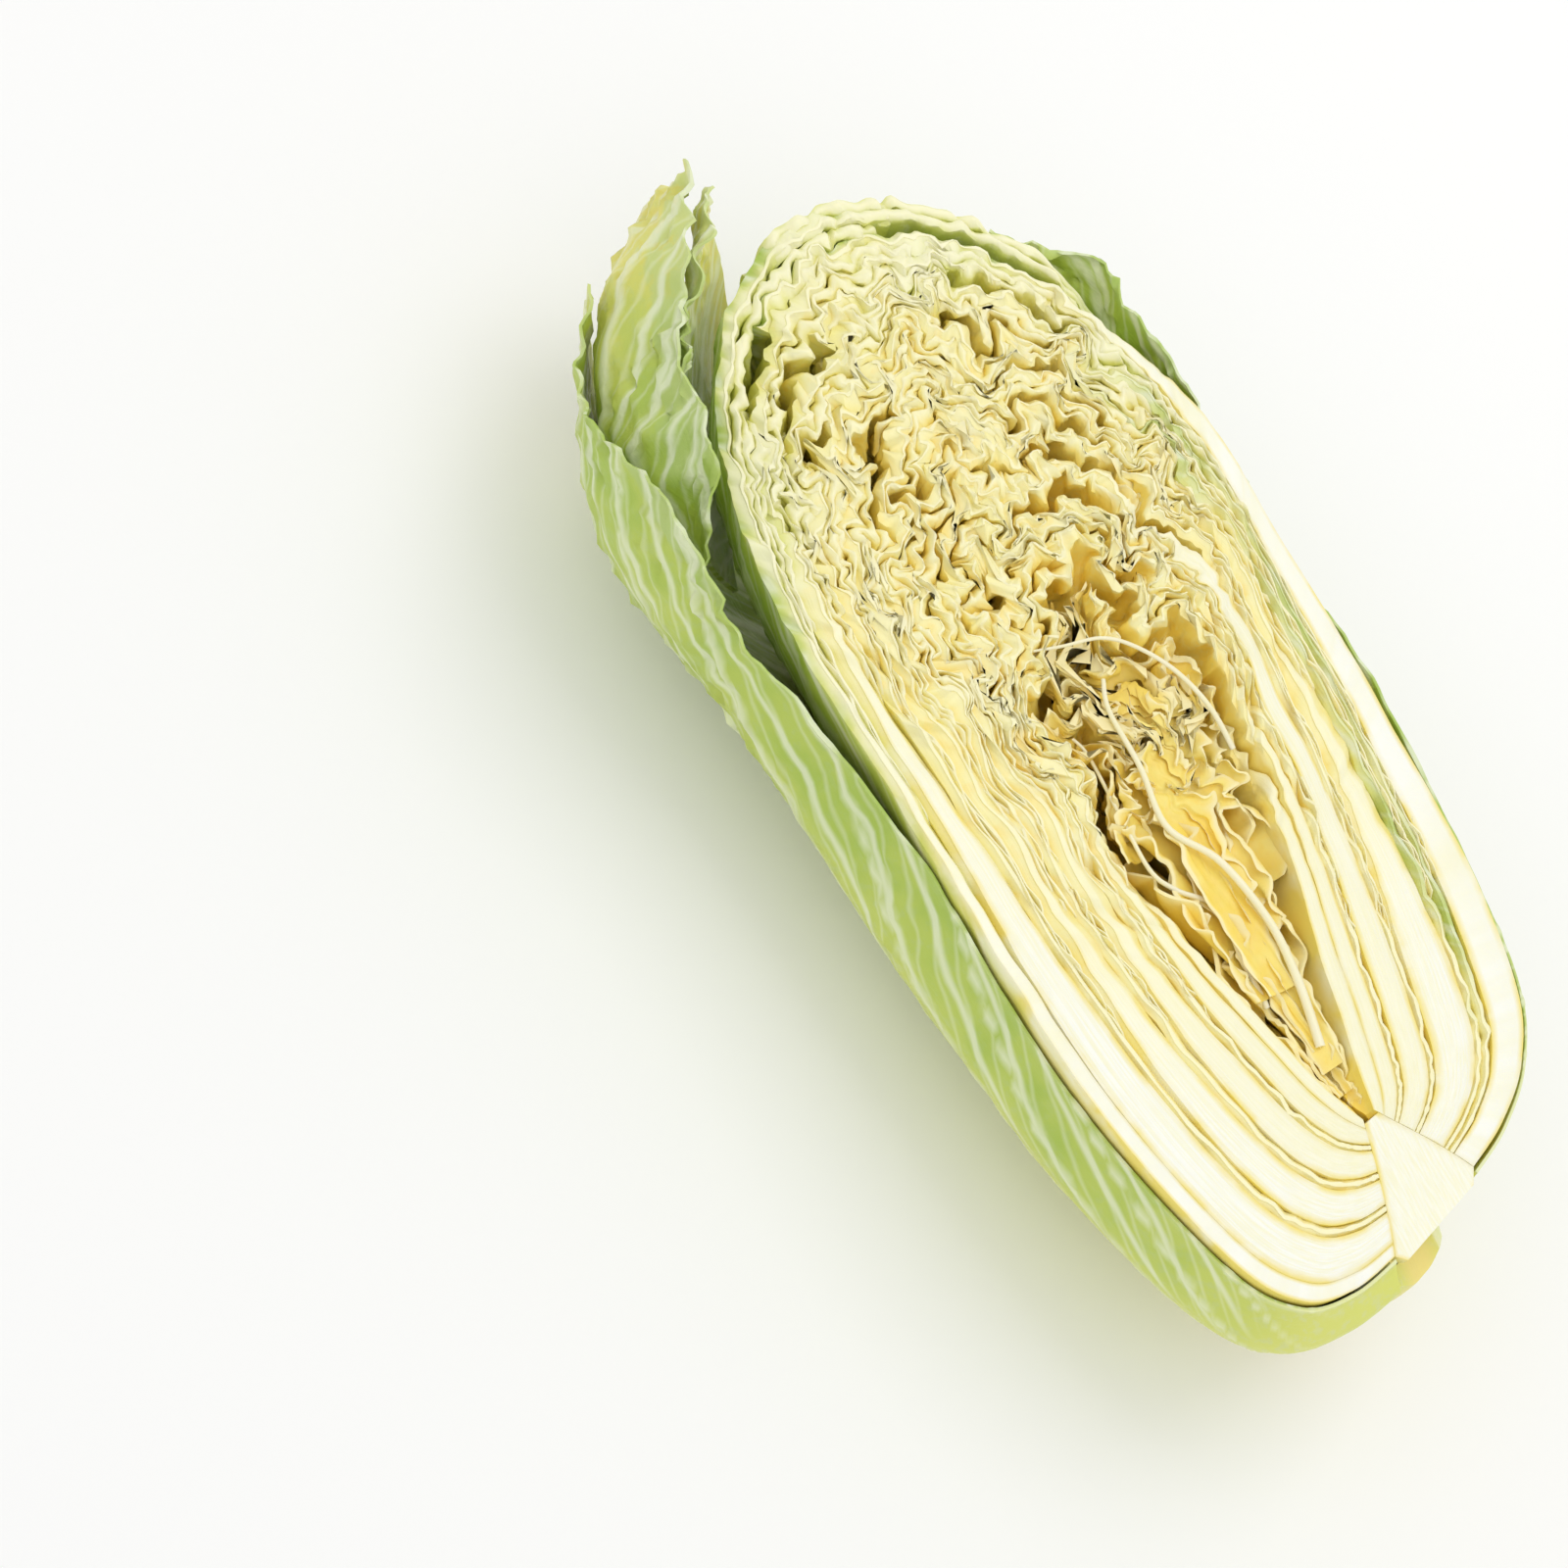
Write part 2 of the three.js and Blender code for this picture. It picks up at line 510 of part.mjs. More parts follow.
function stemCore() {
  const positions = [];
  const index = [];
  const ringAt = (x, radius, shell) => {
    for (let i = 0; i <= CORE_SIDES; i++) {
      const angle = (180 * DEGREE * i) / CORE_SIDES;
      const depth = depthRatio(shell) * radius * Math.sin(angle);
      positions.push(...settle([x, radius * Math.cos(angle), -depth], shell));
    }
  };
  const base = contour(0, 0);
  ringAt(base.x - STUMP_LENGTH, base.w - CORE_GAP - STUMP_TAPER, 0);
  for (let i = 0; i < CORE_STATIONS; i++) {
    const shell = (CORE_TIP * i) / (CORE_STATIONS - 1);
    const { x, w } = contour(shell, 0);
    ringAt(x - CORE_GAP, w - CORE_GAP * 0.5, shell);
  }
  const rings = CORE_STATIONS + 1;
  const sides = CORE_SIDES + 1;
  for (let r = 0; r < rings - 1; r++)
    for (let i = 0; i < sides; i++) {
      const j = (i + 1) % sides;
      const [a, b, c, d] = [r * sides + i, r * sides + j, (r + 1) * sides + j, (r + 1) * sides + i];
      index.push(a, b, c, a, c, d);
    }
  for (let i = 1; i < sides - 1; i++) {
    index.push(0, i + 1, i);
    const last = (rings - 1) * sides;
    index.push(last, last + i, last + i + 1);
  }
  return new THREE.BufferGeometry()
    .setAttribute("position", new THREE.BufferAttribute(new Float32Array(positions), 3))
    .setIndex(index);
}

add("stem_core", stemCore(), CREAM);

// Sets the origin at the middle of the underside
const box = new THREE.Box3().setFromObject(head);
head.position.set(-(box.min.x + box.max.x) / 2, -(box.min.y + box.max.y) / 2, -box.min.z);

export default head;
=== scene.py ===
"""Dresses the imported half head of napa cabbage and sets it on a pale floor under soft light.

The leaves are made again with fine crinkles, veins and cut rims. They follow the same nested shells
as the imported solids: head coordinates in millimetres with x from the root to the crown, y to the
left flank and z up out of the cut, whose plane is z = 0.
"""
import math

import bpy
import numpy as np
from bpy.props import FloatProperty, FloatVectorProperty, PointerProperty
from mathutils import Matrix, Vector


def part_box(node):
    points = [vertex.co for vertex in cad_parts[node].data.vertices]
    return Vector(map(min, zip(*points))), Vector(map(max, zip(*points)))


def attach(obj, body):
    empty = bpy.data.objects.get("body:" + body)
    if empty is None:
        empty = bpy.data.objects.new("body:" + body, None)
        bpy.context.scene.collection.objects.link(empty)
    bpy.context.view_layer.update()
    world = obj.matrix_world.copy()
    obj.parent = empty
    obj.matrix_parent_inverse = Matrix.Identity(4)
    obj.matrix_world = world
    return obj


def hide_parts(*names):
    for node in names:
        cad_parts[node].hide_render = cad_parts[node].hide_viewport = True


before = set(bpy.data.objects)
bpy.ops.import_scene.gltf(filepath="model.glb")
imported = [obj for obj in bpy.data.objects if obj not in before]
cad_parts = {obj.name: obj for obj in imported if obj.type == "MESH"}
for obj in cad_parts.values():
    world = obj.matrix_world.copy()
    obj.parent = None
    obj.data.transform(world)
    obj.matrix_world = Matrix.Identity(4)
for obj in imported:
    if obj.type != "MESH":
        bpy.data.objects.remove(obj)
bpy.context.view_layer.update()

bl_info = {
    "name": "Half napa cabbage",
    "version": (1, 0, 0),
    "blender": (4, 5, 0),
    "location": "View3D > Sidebar > Cabbage",
    "description": "Builds the leaves, heart and core of a half napa cabbage on its packed frame",
    "category": "Object",
}

MM = 0.001

# Shells of the head, as in the solids
CROWN_X = 290
SHOULDER_X = 190
SHOULDER_HALF_WIDTH = 69.5
HEART_CROWN_X = 167
HEART_SHOULDER_X = 115
HEART_HALF_WIDTH = 22
HEAD_DEPTH_RATIO = 0.86
HEART_DEPTH_RATIO = 1.1
REST_DEPTH = 68.1
ROOT_DEEPER = 1.12
CROWN_SHALLOWER = 0.92
SAG_REACH = (100, 200)
FLAT_START = 50
FLAT_SOFTNESS = 30
ROOT_SLANT = 0.33
ROOT_SLANT_REACH = 70
OUTER_FLANK = [(-1, 16), (1, 30), (8, 44), (25, 55), (65, 64.5), (120, 67.5),
               (SHOULDER_X, SHOULDER_HALF_WIDTH)]
HEART_FLANK = [(27, 2), (30, 3), (34, 4.2), (43, 7), (62, 12), (88, 18.5),
               (HEART_SHOULDER_X, HEART_HALF_WIDTH)]
SHOULDER_T = 0.6
OUTER_MIDDLE = [(0, 0), (65, 5.5), (120, 7), (180, 10), (240, 12), (300, 13)]
HEART_MIDDLE = [(0, 0), (46, 5), (66, 6), (90, 5.5), (120, 4), (170, 3), (300, 8)]

# Cut leaves of each flank from the outermost in: rib thickness, way at which the rib has thinned to
# blade, degrees below the cut at which the rib runs, and how far past the crown's top the tip folds
LEFT_LEAVES = [
    (4.5, 0.62, 10, 0.06), (11, 0.68, 0, 0.15), (3, 0.45, 60, 0.05),
    (9, 0.58, 0, 0.17), (3, 0.45, 70, 0.08), (8, 0.6, 5, 0.12),
    (2.6, 0.5, 60, 0.02), (6, 0.62, 0, 0.1), (4, 0.62, 15, -0.04),
]
RIGHT_LEAVES = [
    (11, 0.86, 0, 0.14), (3, 0.5, 60, 0.1), (3, 0.45, 70, 0.16),
    (13, 0.62, 0, 0.06), (2.4, 0.5, 60, 0.14), (8, 0.86, 0, 0.08),
    (2.4, 0.5, 70, 0.12), (5, 0.7, 0, 0.05), (5, 0.72, 10, -0.02),
]
LEAF_COUNT = len(LEFT_LEAVES)
# Degrees below the cut to which a leaf reaches at the root, along the flank and in the crown, and how
# far its lower margin waves
ROOT_REACH = 60
LEAF_REACH = 83
CROWN_REACH = 79
MARGIN_WAVE = 2.5

# Heart leaves: size against the hollow, degrees round from the left wall, and way along the hollow
HEART_LEAVES = [
    (0.76, 4, 78, 0.08, 0.96),
    (0.74, 98, 175, 0.08, 0.88),
    (0.5, 14, 96, 0.2, 0.8),
    (0.5, 112, 168, 0.2, 0.86),
    (0.2, 30, 150, 0.32, 0.74),
]
# A shallow ruffled fold of each heart leaf, in the same columns, and its share of the hollow's depth
HEART_FOLDS = [
    ((0.93, 4, 104, 0.56, 1.0), 0.5),
    ((0.9, 76, 176, 0.5, 0.98), 0.42),
    ((0.68, 8, 120, 0.4, 0.96), 0.38),
    ((0.64, 60, 172, 0.28, 0.9), 0.3),
    ((0.36, 20, 160, 0.4, 0.92), 0.3),
]

# Wrapper leaves: node, flank, rib position in degrees, rib thickness and rows of way, upper and
# lower margin in degrees, stand-off in mm on the flank and under the head, and lean of the margin
WRAPPERS = [
    ("wrapper_left_inner", 1, 56, 3, [
        (0, 15, 84, 0.6, 0.7, 0), (0.06, 16, 84, 0.6, 0.8, 0), (0.3, 18, 84, 0.8, 1, 0),
        (0.5, 20, 84, 1.6, 2, 0), (0.6, 20, 80, 6, 3, 0), (0.65, 12, 77, 13, 4, 3),
        (0.68, 0, 74, 18, 5, 11), (0.7, -8, 70, 20, 5, 13),
        (0.74, -10, 62, 24, 7, 15), (0.79, -7, 50, 27, 12, 14), (0.84, -9, 38, 29, 20, 14),
        (0.88, -6, 30, 31, 28, 12), (0.915, -3, 24, 34, 34, 9),
    ]),
    ("wrapper_right", -1, 56, 2, [
        (0, 1, 84, 1.1, 1.1, 0), (0.3, 1, 84, 1, 1, 0), (0.6, 2, 83, 0.9, 1.2, 0), (0.72, 1, 81, 1.2, 1.5, 0),
        (0.745, -3, 78, 2, 2, -5), (0.765, -3, 75, 2.6, 2.2, -6), (0.8, 0, 68, 2.8, 2.8, -2),
        (0.84, 3, 56, 3.6, 3.6, 0),
    ]),
    ("wrapper_left_outer", 1, 88, 7, [
        (0, 1, 112, 3.6, 4.4, 3), (0.06, 2, 120, 3.8, 5.4, 3.2), (0.3, 3, 132, 4.4, 5.4, 3.8),
        (0.42, 4, 136, 7, 5.3, 6.2), (0.5, 5, 134, 11, 5.2, 10), (0.55, 4, 114, 14, 5.4, 11),
        (0.59, 1, 92, 17.5, 6, 8), (0.66, -4, 82, 24, 7.4, 6), (0.7, -1, 80, 28, 7.8, 5),
        (0.75, 5, 79, 32, 8, 3), (0.79, 9, 77, 35, 8.6, 3), (0.84, 7, 74, 37, 10, 3),
    ]),
]
# A ruffled fold of the inner wrapper between it and the head, in the same rows
RUFFLE = [
    (0.68, 8, 40, 6, 5, 0), (0.74, 0, 44, 6.5, 5, -1), (0.79, -6, 44, 6, 5, -4), (0.84, -8, 42, 6, 6, -6.5),
    (0.88, -7, 36, 8, 8, -7.5), (0.92, -3, 26, 10, 10, -8),
]
# Thickness of a wrapper's blade and height of its waves in mm, degrees over which the lean and the thin
# margin end, and degrees over which the stand-off changes from that on the flank to that underneath
WRAPPER_BLADE = 1.4
OUTER_WAVE = 1.2
LEAN_WIDTH = 24
MARGIN_WIDTH = 20
UNDERSIDE = (35, 78)

# Stem core
CORE_GAP = 0.8
STUMP_LENGTH = 3

# The stirring of the crown: seed of its waves, depth at which it fades out, and x over which its
# narrow start widens
STIR_SEED = 77
STIR_FADE = (24, 50)
STIR_WIDENS = (120, 215)

# Gap in mm between neighbouring ribs, and length in mm of a leaf from root to crown along its shell
RIB_GAP = 0.04
LEAF_LENGTH = 330

# Below its rim a blade keeps its thickness down to SHEER mm, and meets its neighbour at VALLEY mm, a rib
# at RIB_VALLEY mm. Their feet press together by CLOSED mm.
SHEER = 0.35
VALLEY = 0.8
RIB_VALLEY = 1
CLOSED = 0.04

# Ways over which uneven slots become even and two flanks' leaves begin to share one, degrees over which
# a rib thins to both sides, and the part of the way over which it ends
EVEN_WAYS = (0.35, 0.75)
SHARED_WAYS = (0.64, 0.76)
RIB_SPREAD = (8, 52)
RIB_ENDS_OVER = 0.28

# Side veins that stand out of a wrapper: their number for each unit of way, and their slant
RAISED_VEINS = 11
RAISED_SLANT = 0.06

# A fold's thickness over that of the main sheet
FOLD_THINNER = 0.8

# Torn rims: fine and coarse tears, deep notches and curl of the free blades, and depth over which the
# pale cut rim fades, all in mm
FINE_TEAR = 0.45
COARSE_TEAR = 0.5
NOTCH = 2
CURL = 0.5
RIM_FADE = 0.8

# Way at which the leaves turn from flank to crown, and stops for each unit of way in these two parts,
# the wrappers and the heart leaves
FLANK_END = 0.42
FLANK_STOPS = 170
CROWN_STOPS = 330
WRAPPER_STOPS = 230
HEART_STOPS = 240

# Degrees below the cut at which the outermost cut leaf's rib runs outside
OUTER_RIB_AT = 60

# Region where the rims fall away into the hollow, as the head's x with its sides' y, its depth, and the
# lengths over which it begins at its sides and its two ends, in mm
HOLLOW = [(40, 3, 8), (62, -3, 17), (80, -9, 23), (100, -16, 29), (120, -21, 32), (142, -20, 26),
          (160, -10, 14), (172, 0, 6)]
HOLLOW_DEPTH = 9
HOLLOW_EDGE = (-2, 5)
HOLLOW_ROOT_END = 12
HOLLOW_CROWN_END = 14

# Strands in the hollow: radius in mm at the thick end and points from crown to root
STRANDS = [
    (1.3, [(150, 8, -3), (142, 11, -3), (126, 11, -3), (110, 12, -4), (97, 4, -3), (79, 0, -3),
           (63, 1, -3), (46, 4, -4)]),
    (0.9, [(140, 21, -8), (134, 20, -7), (116, 21, -6), (102, 21, -6), (95, 17, -6), (87, 9, -6),
           (74, 10, -6), (60, 10, -7)]),
    (0.8, [(163, 22, -3), (161, 15, -1), (159, 4, 0), (153, -4, 0), (144, -11, -1), (133, -15, -2),
           (122, -17, -5)]),
]
STRAND_SIDES = 12
STRAND_LIFT = 1.5


def mix(a, b, k):
    return a + (b - a) * k


def smooth(low, high, value):
    k = np.clip((value - low) / (high - low), 0, 1)
    return k * k * (3 - 2 * k)


def rad(degrees):
    return np.radians(degrees)


def draws(seed):
    """Seeded draws between 0 and 1, the same as those of the solids."""
    state = seed
    while True:
        state = (state * 1664525 + 1013904223) & 0xFFFFFFFF
        yield state / 4294967296


def through(pairs, k):
    """A smooth curve through evenly spaced pairs, read at share k of its length in points."""
    points = np.asarray(pairs, float)
    place = np.clip(k, 0, 1) * (len(points) - 1)
    i = np.minimum(place.astype(int), len(points) - 2)
    f = (place - i)[..., None]
    a, b, c, d = (points[np.clip(i + step, 0, len(points) - 1)] for step in (-1, 0, 1, 2))
    return b + 0.5 * f * (c - a + f * (2 * a - 5 * b + 4 * c - d + f * (3 * (b - c) + d - a)))


def line_at(pairs, x):
    """y of a middle line at x."""
    points = np.asarray(pairs, float)
    i = np.clip(np.searchsorted(points[:, 0], x, side="right"), 1, len(points) - 1)
    start, end = points[i - 1], points[i]
    return mix(start[..., 1], end[..., 1], smooth(start[..., 0], end[..., 0], x))


def contour(shell, t):
    """x and half width of a shell at t, and the distance from the outermost shell to the hollow."""
    flank = np.clip(t / SHOULDER_T, 0, 1)
    outer, heart = through(OUTER_FLANK, flank), through(HEART_FLANK, flank)
    turn = rad(np.clip((t - SHOULDER_T) / (1 - SHOULDER_T), 0, 1) * 90)
    past = t >= SHOULDER_T
    outer_x = np.where(past, SHOULDER_X + (CROWN_X - SHOULDER_X) * np.sin(turn), outer[..., 0])
    outer_w = np.where(past, SHOULDER_HALF_WIDTH * np.cos(turn), outer[..., 1])
    heart_turned = HEART_SHOULDER_X + (HEART_CROWN_X - HEART_SHOULDER_X) * np.sin(turn)
    heart_x = np.where(past, heart_turned, heart[..., 0])
    heart_w = np.where(past, HEART_HALF_WIDTH * np.cos(turn), heart[..., 1])
    spread = np.hypot(outer_x - heart_x, outer_w - heart_w)
    return mix(outer_x, heart_x, shell), mix(outer_w, heart_w, shell), spread


def depth_ratio(shell):
    """Depth of a shell over its half width."""
    return mix(HEAD_DEPTH_RATIO, HEART_DEPTH_RATIO, np.clip(shell, 0, 1))


def settle(x, y, z, shell):
    """From the even head to the real one: drifting middle, slanted root, back pressed flat."""
    middle = mix(line_at(OUTER_MIDDLE, x), line_at(HEART_MIDDLE, x), np.clip(shell, 0, 1))
    side = y + middle
    slanted = x - ROOT_SLANT * side * (1 - smooth(0, ROOT_SLANT_REACH, x))
    sag = -z * mix(ROOT_DEEPER, CROWN_SHALLOWER, smooth(*SAG_REACH, x))
    low = sag - FLAT_START
    depth = np.where(low > 0, FLAT_START + FLAT_SOFTNESS * np.tanh(low / FLAT_SOFTNESS), sag)
    return np.stack([slanted, side, -np.minimum(depth, REST_DEPTH)], -1)


def folded(shell, way, below, flank):
    """A point of a leaf that folds over the crown."""
    t = np.where(way <= 1, way, 2 - way)
    side = np.where(way <= 1, flank, -flank)
    x, w, _ = contour(shell, t)
    ratio = depth_ratio(shell)
    shoulder_x, shoulder_w, _ = contour(shell, np.full_like(t, SHOULDER_T))
    past = t >= SHOULDER_T
    px = np.where(past, shoulder_x + (x - shoulder_x) * np.cos(rad(below)), x)
    deep = ratio * np.where(past, shoulder_w, w) * np.sin(rad(below))
    return settle(px, side * w * np.cos(rad(below)), -deep, shell)


def spread_at(t, below):
    """Distance from the outermost shell to the hollow, some degrees below the cut."""
    near = np.minimum(t, SHOULDER_T)
    outer_w, heart_w = contour(0.0, near)[1], contour(1.0, near)[1]
    deep = HEAD_DEPTH_RATIO * outer_w - HEART_DEPTH_RATIO * heart_w
    return np.hypot(contour(0.0, t)[2] * np.cos(rad(below)), deep * np.sin(rad(below)))


def outside(off, way, below, flank):
    """A point that stands off the outermost cut leaf by off mm."""
    x, w, _ = contour(0.0, way)
    back = contour(0.0, np.maximum(way - 0.01, 0))
    ahead = contour(0.0, np.minimum(way + 0.01, 1))
    dx, dw = ahead[0] - back[0], ahead[1] - back[1]
    length = np.hypot(dx, dw)
    px = x - off * dw / length
    pw = w + off * dx / length
    round_off = smooth(SHOULDER_T - 0.04, SHOULDER_T + 0.04, way)
    lean = mix(1, np.cos(rad(below)), round_off)
    deep = HEAD_DEPTH_RATIO * mix(pw, SHOULDER_HALF_WIDTH + off, round_off) * np.sin(rad(below))
    side = flank * pw * np.cos(rad(below))
    return settle(SHOULDER_X + (px - SHOULDER_X) * lean, side, -deep, np.zeros_like(px))


def wave_set(seed, count, lengths):
    """Plane waves for a stirring: wave numbers along x, y and z, and phases."""
    draw = draws(seed)
    rows = []
    for _ in range(count):
        bearing = next(draw) * 2 * math.pi
        number = 2 * math.pi / mix(*lengths, next(draw))
        rows.append((number * math.cos(bearing), number * math.sin(bearing), number * (next(draw) - 0.5),
                     next(draw) * 2 * math.pi))
    return np.array(rows)


def crown_reach(x, y, start, edge, cone):
    """1 where blades are packed and crinkled, 0 in the ribs and at the outside."""
    side = (y - line_at(OUTER_MIDDLE, x)) / SHOULDER_HALF_WIDTH
    along = np.maximum(0, (x - SHOULDER_X) / (CROWN_X - SHOULDER_X))
    narrower = cone * (1 - smooth(*STIR_WIDENS, x))
    return smooth(*start, x) * (1 - smooth(*edge, np.hypot(side, along) + narrower))


def stir(points, waves, travel, steps, start, edge, cone):
    """Moves points sideways along a smooth swirling flow, so that neighbouring sheets bend together."""
    x, y, z = points[..., 0].copy(), points[..., 1].copy(), points[..., 2]
    shallow = 1 - smooth(*STIR_FADE, -z)
    length = np.hypot(waves[:, 0], waves[:, 1])
    share = travel / math.sqrt(len(waves) / 2) / steps

    def speed(px, py):
        sx, sy = np.zeros_like(px), np.zeros_like(py)
        for (kx, ky, kz, phase), number in zip(waves, length):
            s = np.sin(kx * px + ky * py + kz * z + phase) / number
            sx += ky * s
            sy -= kx * s
        strength = crown_reach(px, py, start, edge, cone) * shallow * share
        return sx * strength, sy * strength

    for _ in range(steps):
        ax, ay = speed(x, y)
        bx, by = speed(x + ax / 2, y + ay / 2)
        x += bx
        y += by
    return np.stack([x, y, z], -1)


# Waves, travel in mm, steps, x over which the stirring starts, share of the half width over which it
# ends, and how much narrower it is near the root
STIRRINGS = (
    (wave_set(STIR_SEED, 14, (30, 54)), 5, 5, (95, 160), (0.5, 0.97), 0.0),
    (wave_set(STIR_SEED + 5, 22, (9, 20)), 2.8, 4, (90, 150), (0.72, 1.0), 0.5),
    (wave_set(STIR_SEED + 9, 22, (4, 8)), 1.0, 3, (80, 140), (0.82, 1.05), 0.5),
)


def crinkle(points):
    """All stirring of a leaf of the head: the coarse one of the solids, then two finer ones."""
    for stirring in STIRRINGS:
        points = stir(points, *stirring)
    return points


def ripple(values, seed, count=6, low=0.5, high=2.0):
    """Smooth noise along one variable, about -1 to 1."""
    draw = draws(seed)
    total = np.zeros_like(values, dtype=float)
    for _ in range(count):
        number = mix(low, high, next(draw))
        total += np.sin(values * number + next(draw) * 2 * math.pi)
    return total / math.sqrt(count)


class Rings:
    """Gathers closed rings of points into one mesh, with named masks for each point."""

    def __init__(self):
        self.points, self.faces, self.masks = [], [], {}
        self.count = 0

    def add(self, points, **masks):
        """points: (along, round, 3). The ring is a flat loop, its two halves facing each other."""
        rows, around = points.shape[:2]
        index = np.arange(rows * around).reshape(rows, around) + self.count
        ahead = np.roll(index, -1, axis=1)
        quads = np.stack([index[:-1], ahead[:-1], ahead[1:], index[1:]], -1).reshape(-1, 4)
        half = around // 2
        caps = []
        for row, turned in ((0, False), (rows - 1, True)):
            left, right = index[row, :half], index[row, ::-1][:half]
            cap = np.stack([left[:-1], right[:-1], right[1:], left[1:]], -1)
            caps.append(cap[:, ::-1] if turned else cap)
        faces = np.concatenate([quads, *caps])
        flat = points.reshape(-1, 3)
        a, b, c, d = (flat[faces[:, k] - self.count] for k in range(4))
        volume = (np.cross(b - a, c - a) * a).sum() + (np.cross(c - a, d - a) * a).sum()
        self.faces.append(faces[:, ::-1] if volume < 0 else faces)
        self.points.append(flat)
        for name, value in masks.items():
            self.masks.setdefault(name, []).append(np.broadcast_to(value, (rows, around)).reshape(-1))
        self.count += rows * around

    def to_object(self, name, material, sharp=50):
        points = (np.concatenate(self.points) + HEAD_TO_FRAME) * MM
        faces = np.concatenate(self.faces)
        mesh = bpy.data.meshes.new(name)
        mesh.vertices.add(len(points))
        mesh.vertices.foreach_set("co", points.ravel())
        mesh.loops.add(faces.size)
        mesh.loops.foreach_set("vertex_index", faces.ravel().astype(np.int32))
        mesh.polygons.add(len(faces))
        mesh.polygons.foreach_set("loop_start", np.arange(0, faces.size, 4, dtype=np.int32))
        mesh.update(calc_edges=True)
        mesh.validate()
        mesh.polygons.foreach_set("use_smooth", np.ones(len(mesh.polygons), dtype=bool))
        mesh.set_sharp_from_angle(angle=math.radians(sharp))
        for key, values in self.masks.items():
            attribute = mesh.attributes.new(key, "FLOAT", "POINT")
            attribute.data.foreach_set("value", np.concatenate(values).astype(np.float32))
        mesh.materials.append(material)
        piece = bpy.data.objects.new(name, mesh)
        bpy.context.scene.collection.objects.link(piece)
        return piece


def ring_plan(shares, rim_count):
    """The loop round a leaf's section: up the outer face, across the cut rim, down the inner face."""
    rim = np.linspace(-1, 1, rim_count + 2)[1:-1]
    share = np.concatenate([shares[::-1], np.zeros(rim_count), shares])
    side = np.concatenate([-np.ones(len(shares)), rim, np.ones(len(shares))])
    return share[None, :], side[None, :]


def slot_edges(leaves):
    """Shells between which the ribs of a flank lie, from their thicknesses."""
    total = np.cumsum([0] + [leaf[0] for leaf in leaves])
    return total / total[-1]


def lane(leaves, k, flank, t, below):
    """Where leaf k runs: its slot and middle as shells, half the rib's thickness and how much rib it is."""
    _, rib_end, rib_at, _ = leaves[k]
    edges = slot_edges(leaves)
    even = smooth(*EVEN_WAYS, t)
    low = mix(edges[k], k / LEAF_COUNT, even)
    high = mix(edges[k + 1], (k + 1) / LEAF_COUNT, even)
    shared = smooth(*SHARED_WAYS, t)
    middle = mix(0.5, 0.25 if flank > 0 else 0.75, shared)
    spread = spread_at(t, below)
    rib_half = 0.5 * (high - low) * spread * mix(1, 0.5, shared) - 0.5 * RIB_GAP
    near_rib = 1 - smooth(*RIB_SPREAD, np.abs(below - rib_at))
    rib = (1 - smooth(rib_end - RIB_ENDS_OVER, rib_end, t)) * near_rib
    return low, high, middle, spread, rib_half, rib


def degree_size(shell, t):
    """How many mm below the cut one degree is, near the cut."""
    return depth_ratio(shell) * contour(shell, np.minimum(t, SHOULDER_T))[1] * math.pi / 180


def hollow_reach(x, y):
    """1 in the hollow of the heart and 0 outside it."""
    table = np.array(HOLLOW, float)
    right, left = (np.interp(x, table[:, 0], table[:, column]) for column in (1, 2))
    inside = np.minimum(left - y, y - right)
    root_end, crown_end = table[0, 0], table[-1, 0]
    rise = smooth(root_end, root_end + HOLLOW_ROOT_END, x)
    ends = rise * (1 - smooth(crown_end - HOLLOW_CROWN_END, crown_end, x))
    return smooth(*HOLLOW_EDGE, inside) * ends


def torn_rim(shell, way, t, flank, seed, loose):
    """How far a rim lies below the cut, in degrees: fine tears, a few deep notches and the hollow."""
    x, w, _ = contour(shell, t)
    side = np.where(way <= 1, flank, -flank) * w + line_at(OUTER_MIDDLE, x) * (1 - shell) + 5 * shell
    fine = FINE_TEAR * ripple(way * 200, seed) + COARSE_TEAR * ripple(way * 90, seed + 1)
    notch = NOTCH * smooth(0.9, 1.8, ripple(way * 100, seed + 2))
    fall = (fine + notch) * loose
    hollow = hollow_reach(x, side) * HOLLOW_DEPTH * (1 + 0.5 * ripple(way * 70, seed + 3))
    return (fall + np.maximum(hollow, 0)) / degree_size(shell, t)


def filled(half, room, depth, reach):
    """Half a blade's thickness, which grows below its rim until it meets its neighbour."""
    return mix(half, np.maximum(half, room), smooth(SHEER, reach, depth))


def leaf_masks(points, rim_depth, shell, side, rib, **more):
    """Masks of a leaf of the head, which its material reads."""
    depth = -points[..., 2]
    masks = {
        "rib": rib,
        # deep is the depth below the cut. The material paints shade from it and turns ribs that lie deep
        # below the cut yellow.
        "deep": np.clip(depth, 0, 20),
        "rim": np.exp(-np.maximum(rim_depth, 0) / RIM_FADE),
        "warm": smooth(0.03, 0.34, shell + 0.05 * ripple(points[..., 0] * 0.11 + points[..., 1] * 0.07, 5)),
        "gold": smooth(0.3, 0.85, shell),
        "skin": smooth(0.5, 1, np.abs(side)),
        "lane": shell * 60,
        "green": 0.22 * (1 - smooth(0.04, 0.2, shell)) * smooth(0.5, 4, depth) * (1 - rib),
        "vein": np.zeros_like(depth),
    }
    masks.update(more)
    return masks


def leaf_stops(start, end, fine):
    """Ways at which a leaf bends: few along the ribs and many in the crinkled crown."""
    flank_count = max(int(FLANK_STOPS * fine * (FLANK_END - start)), 2)
    flank = np.linspace(start, FLANK_END, flank_count, endpoint=False)
    crown_start = max(start, FLANK_END)
    crown = np.linspace(crown_start, end, max(int(CROWN_STOPS * fine * (end - crown_start)), 12))
    return np.concatenate([flank, crown])[:, None] if start < FLANK_END else crown[:, None]


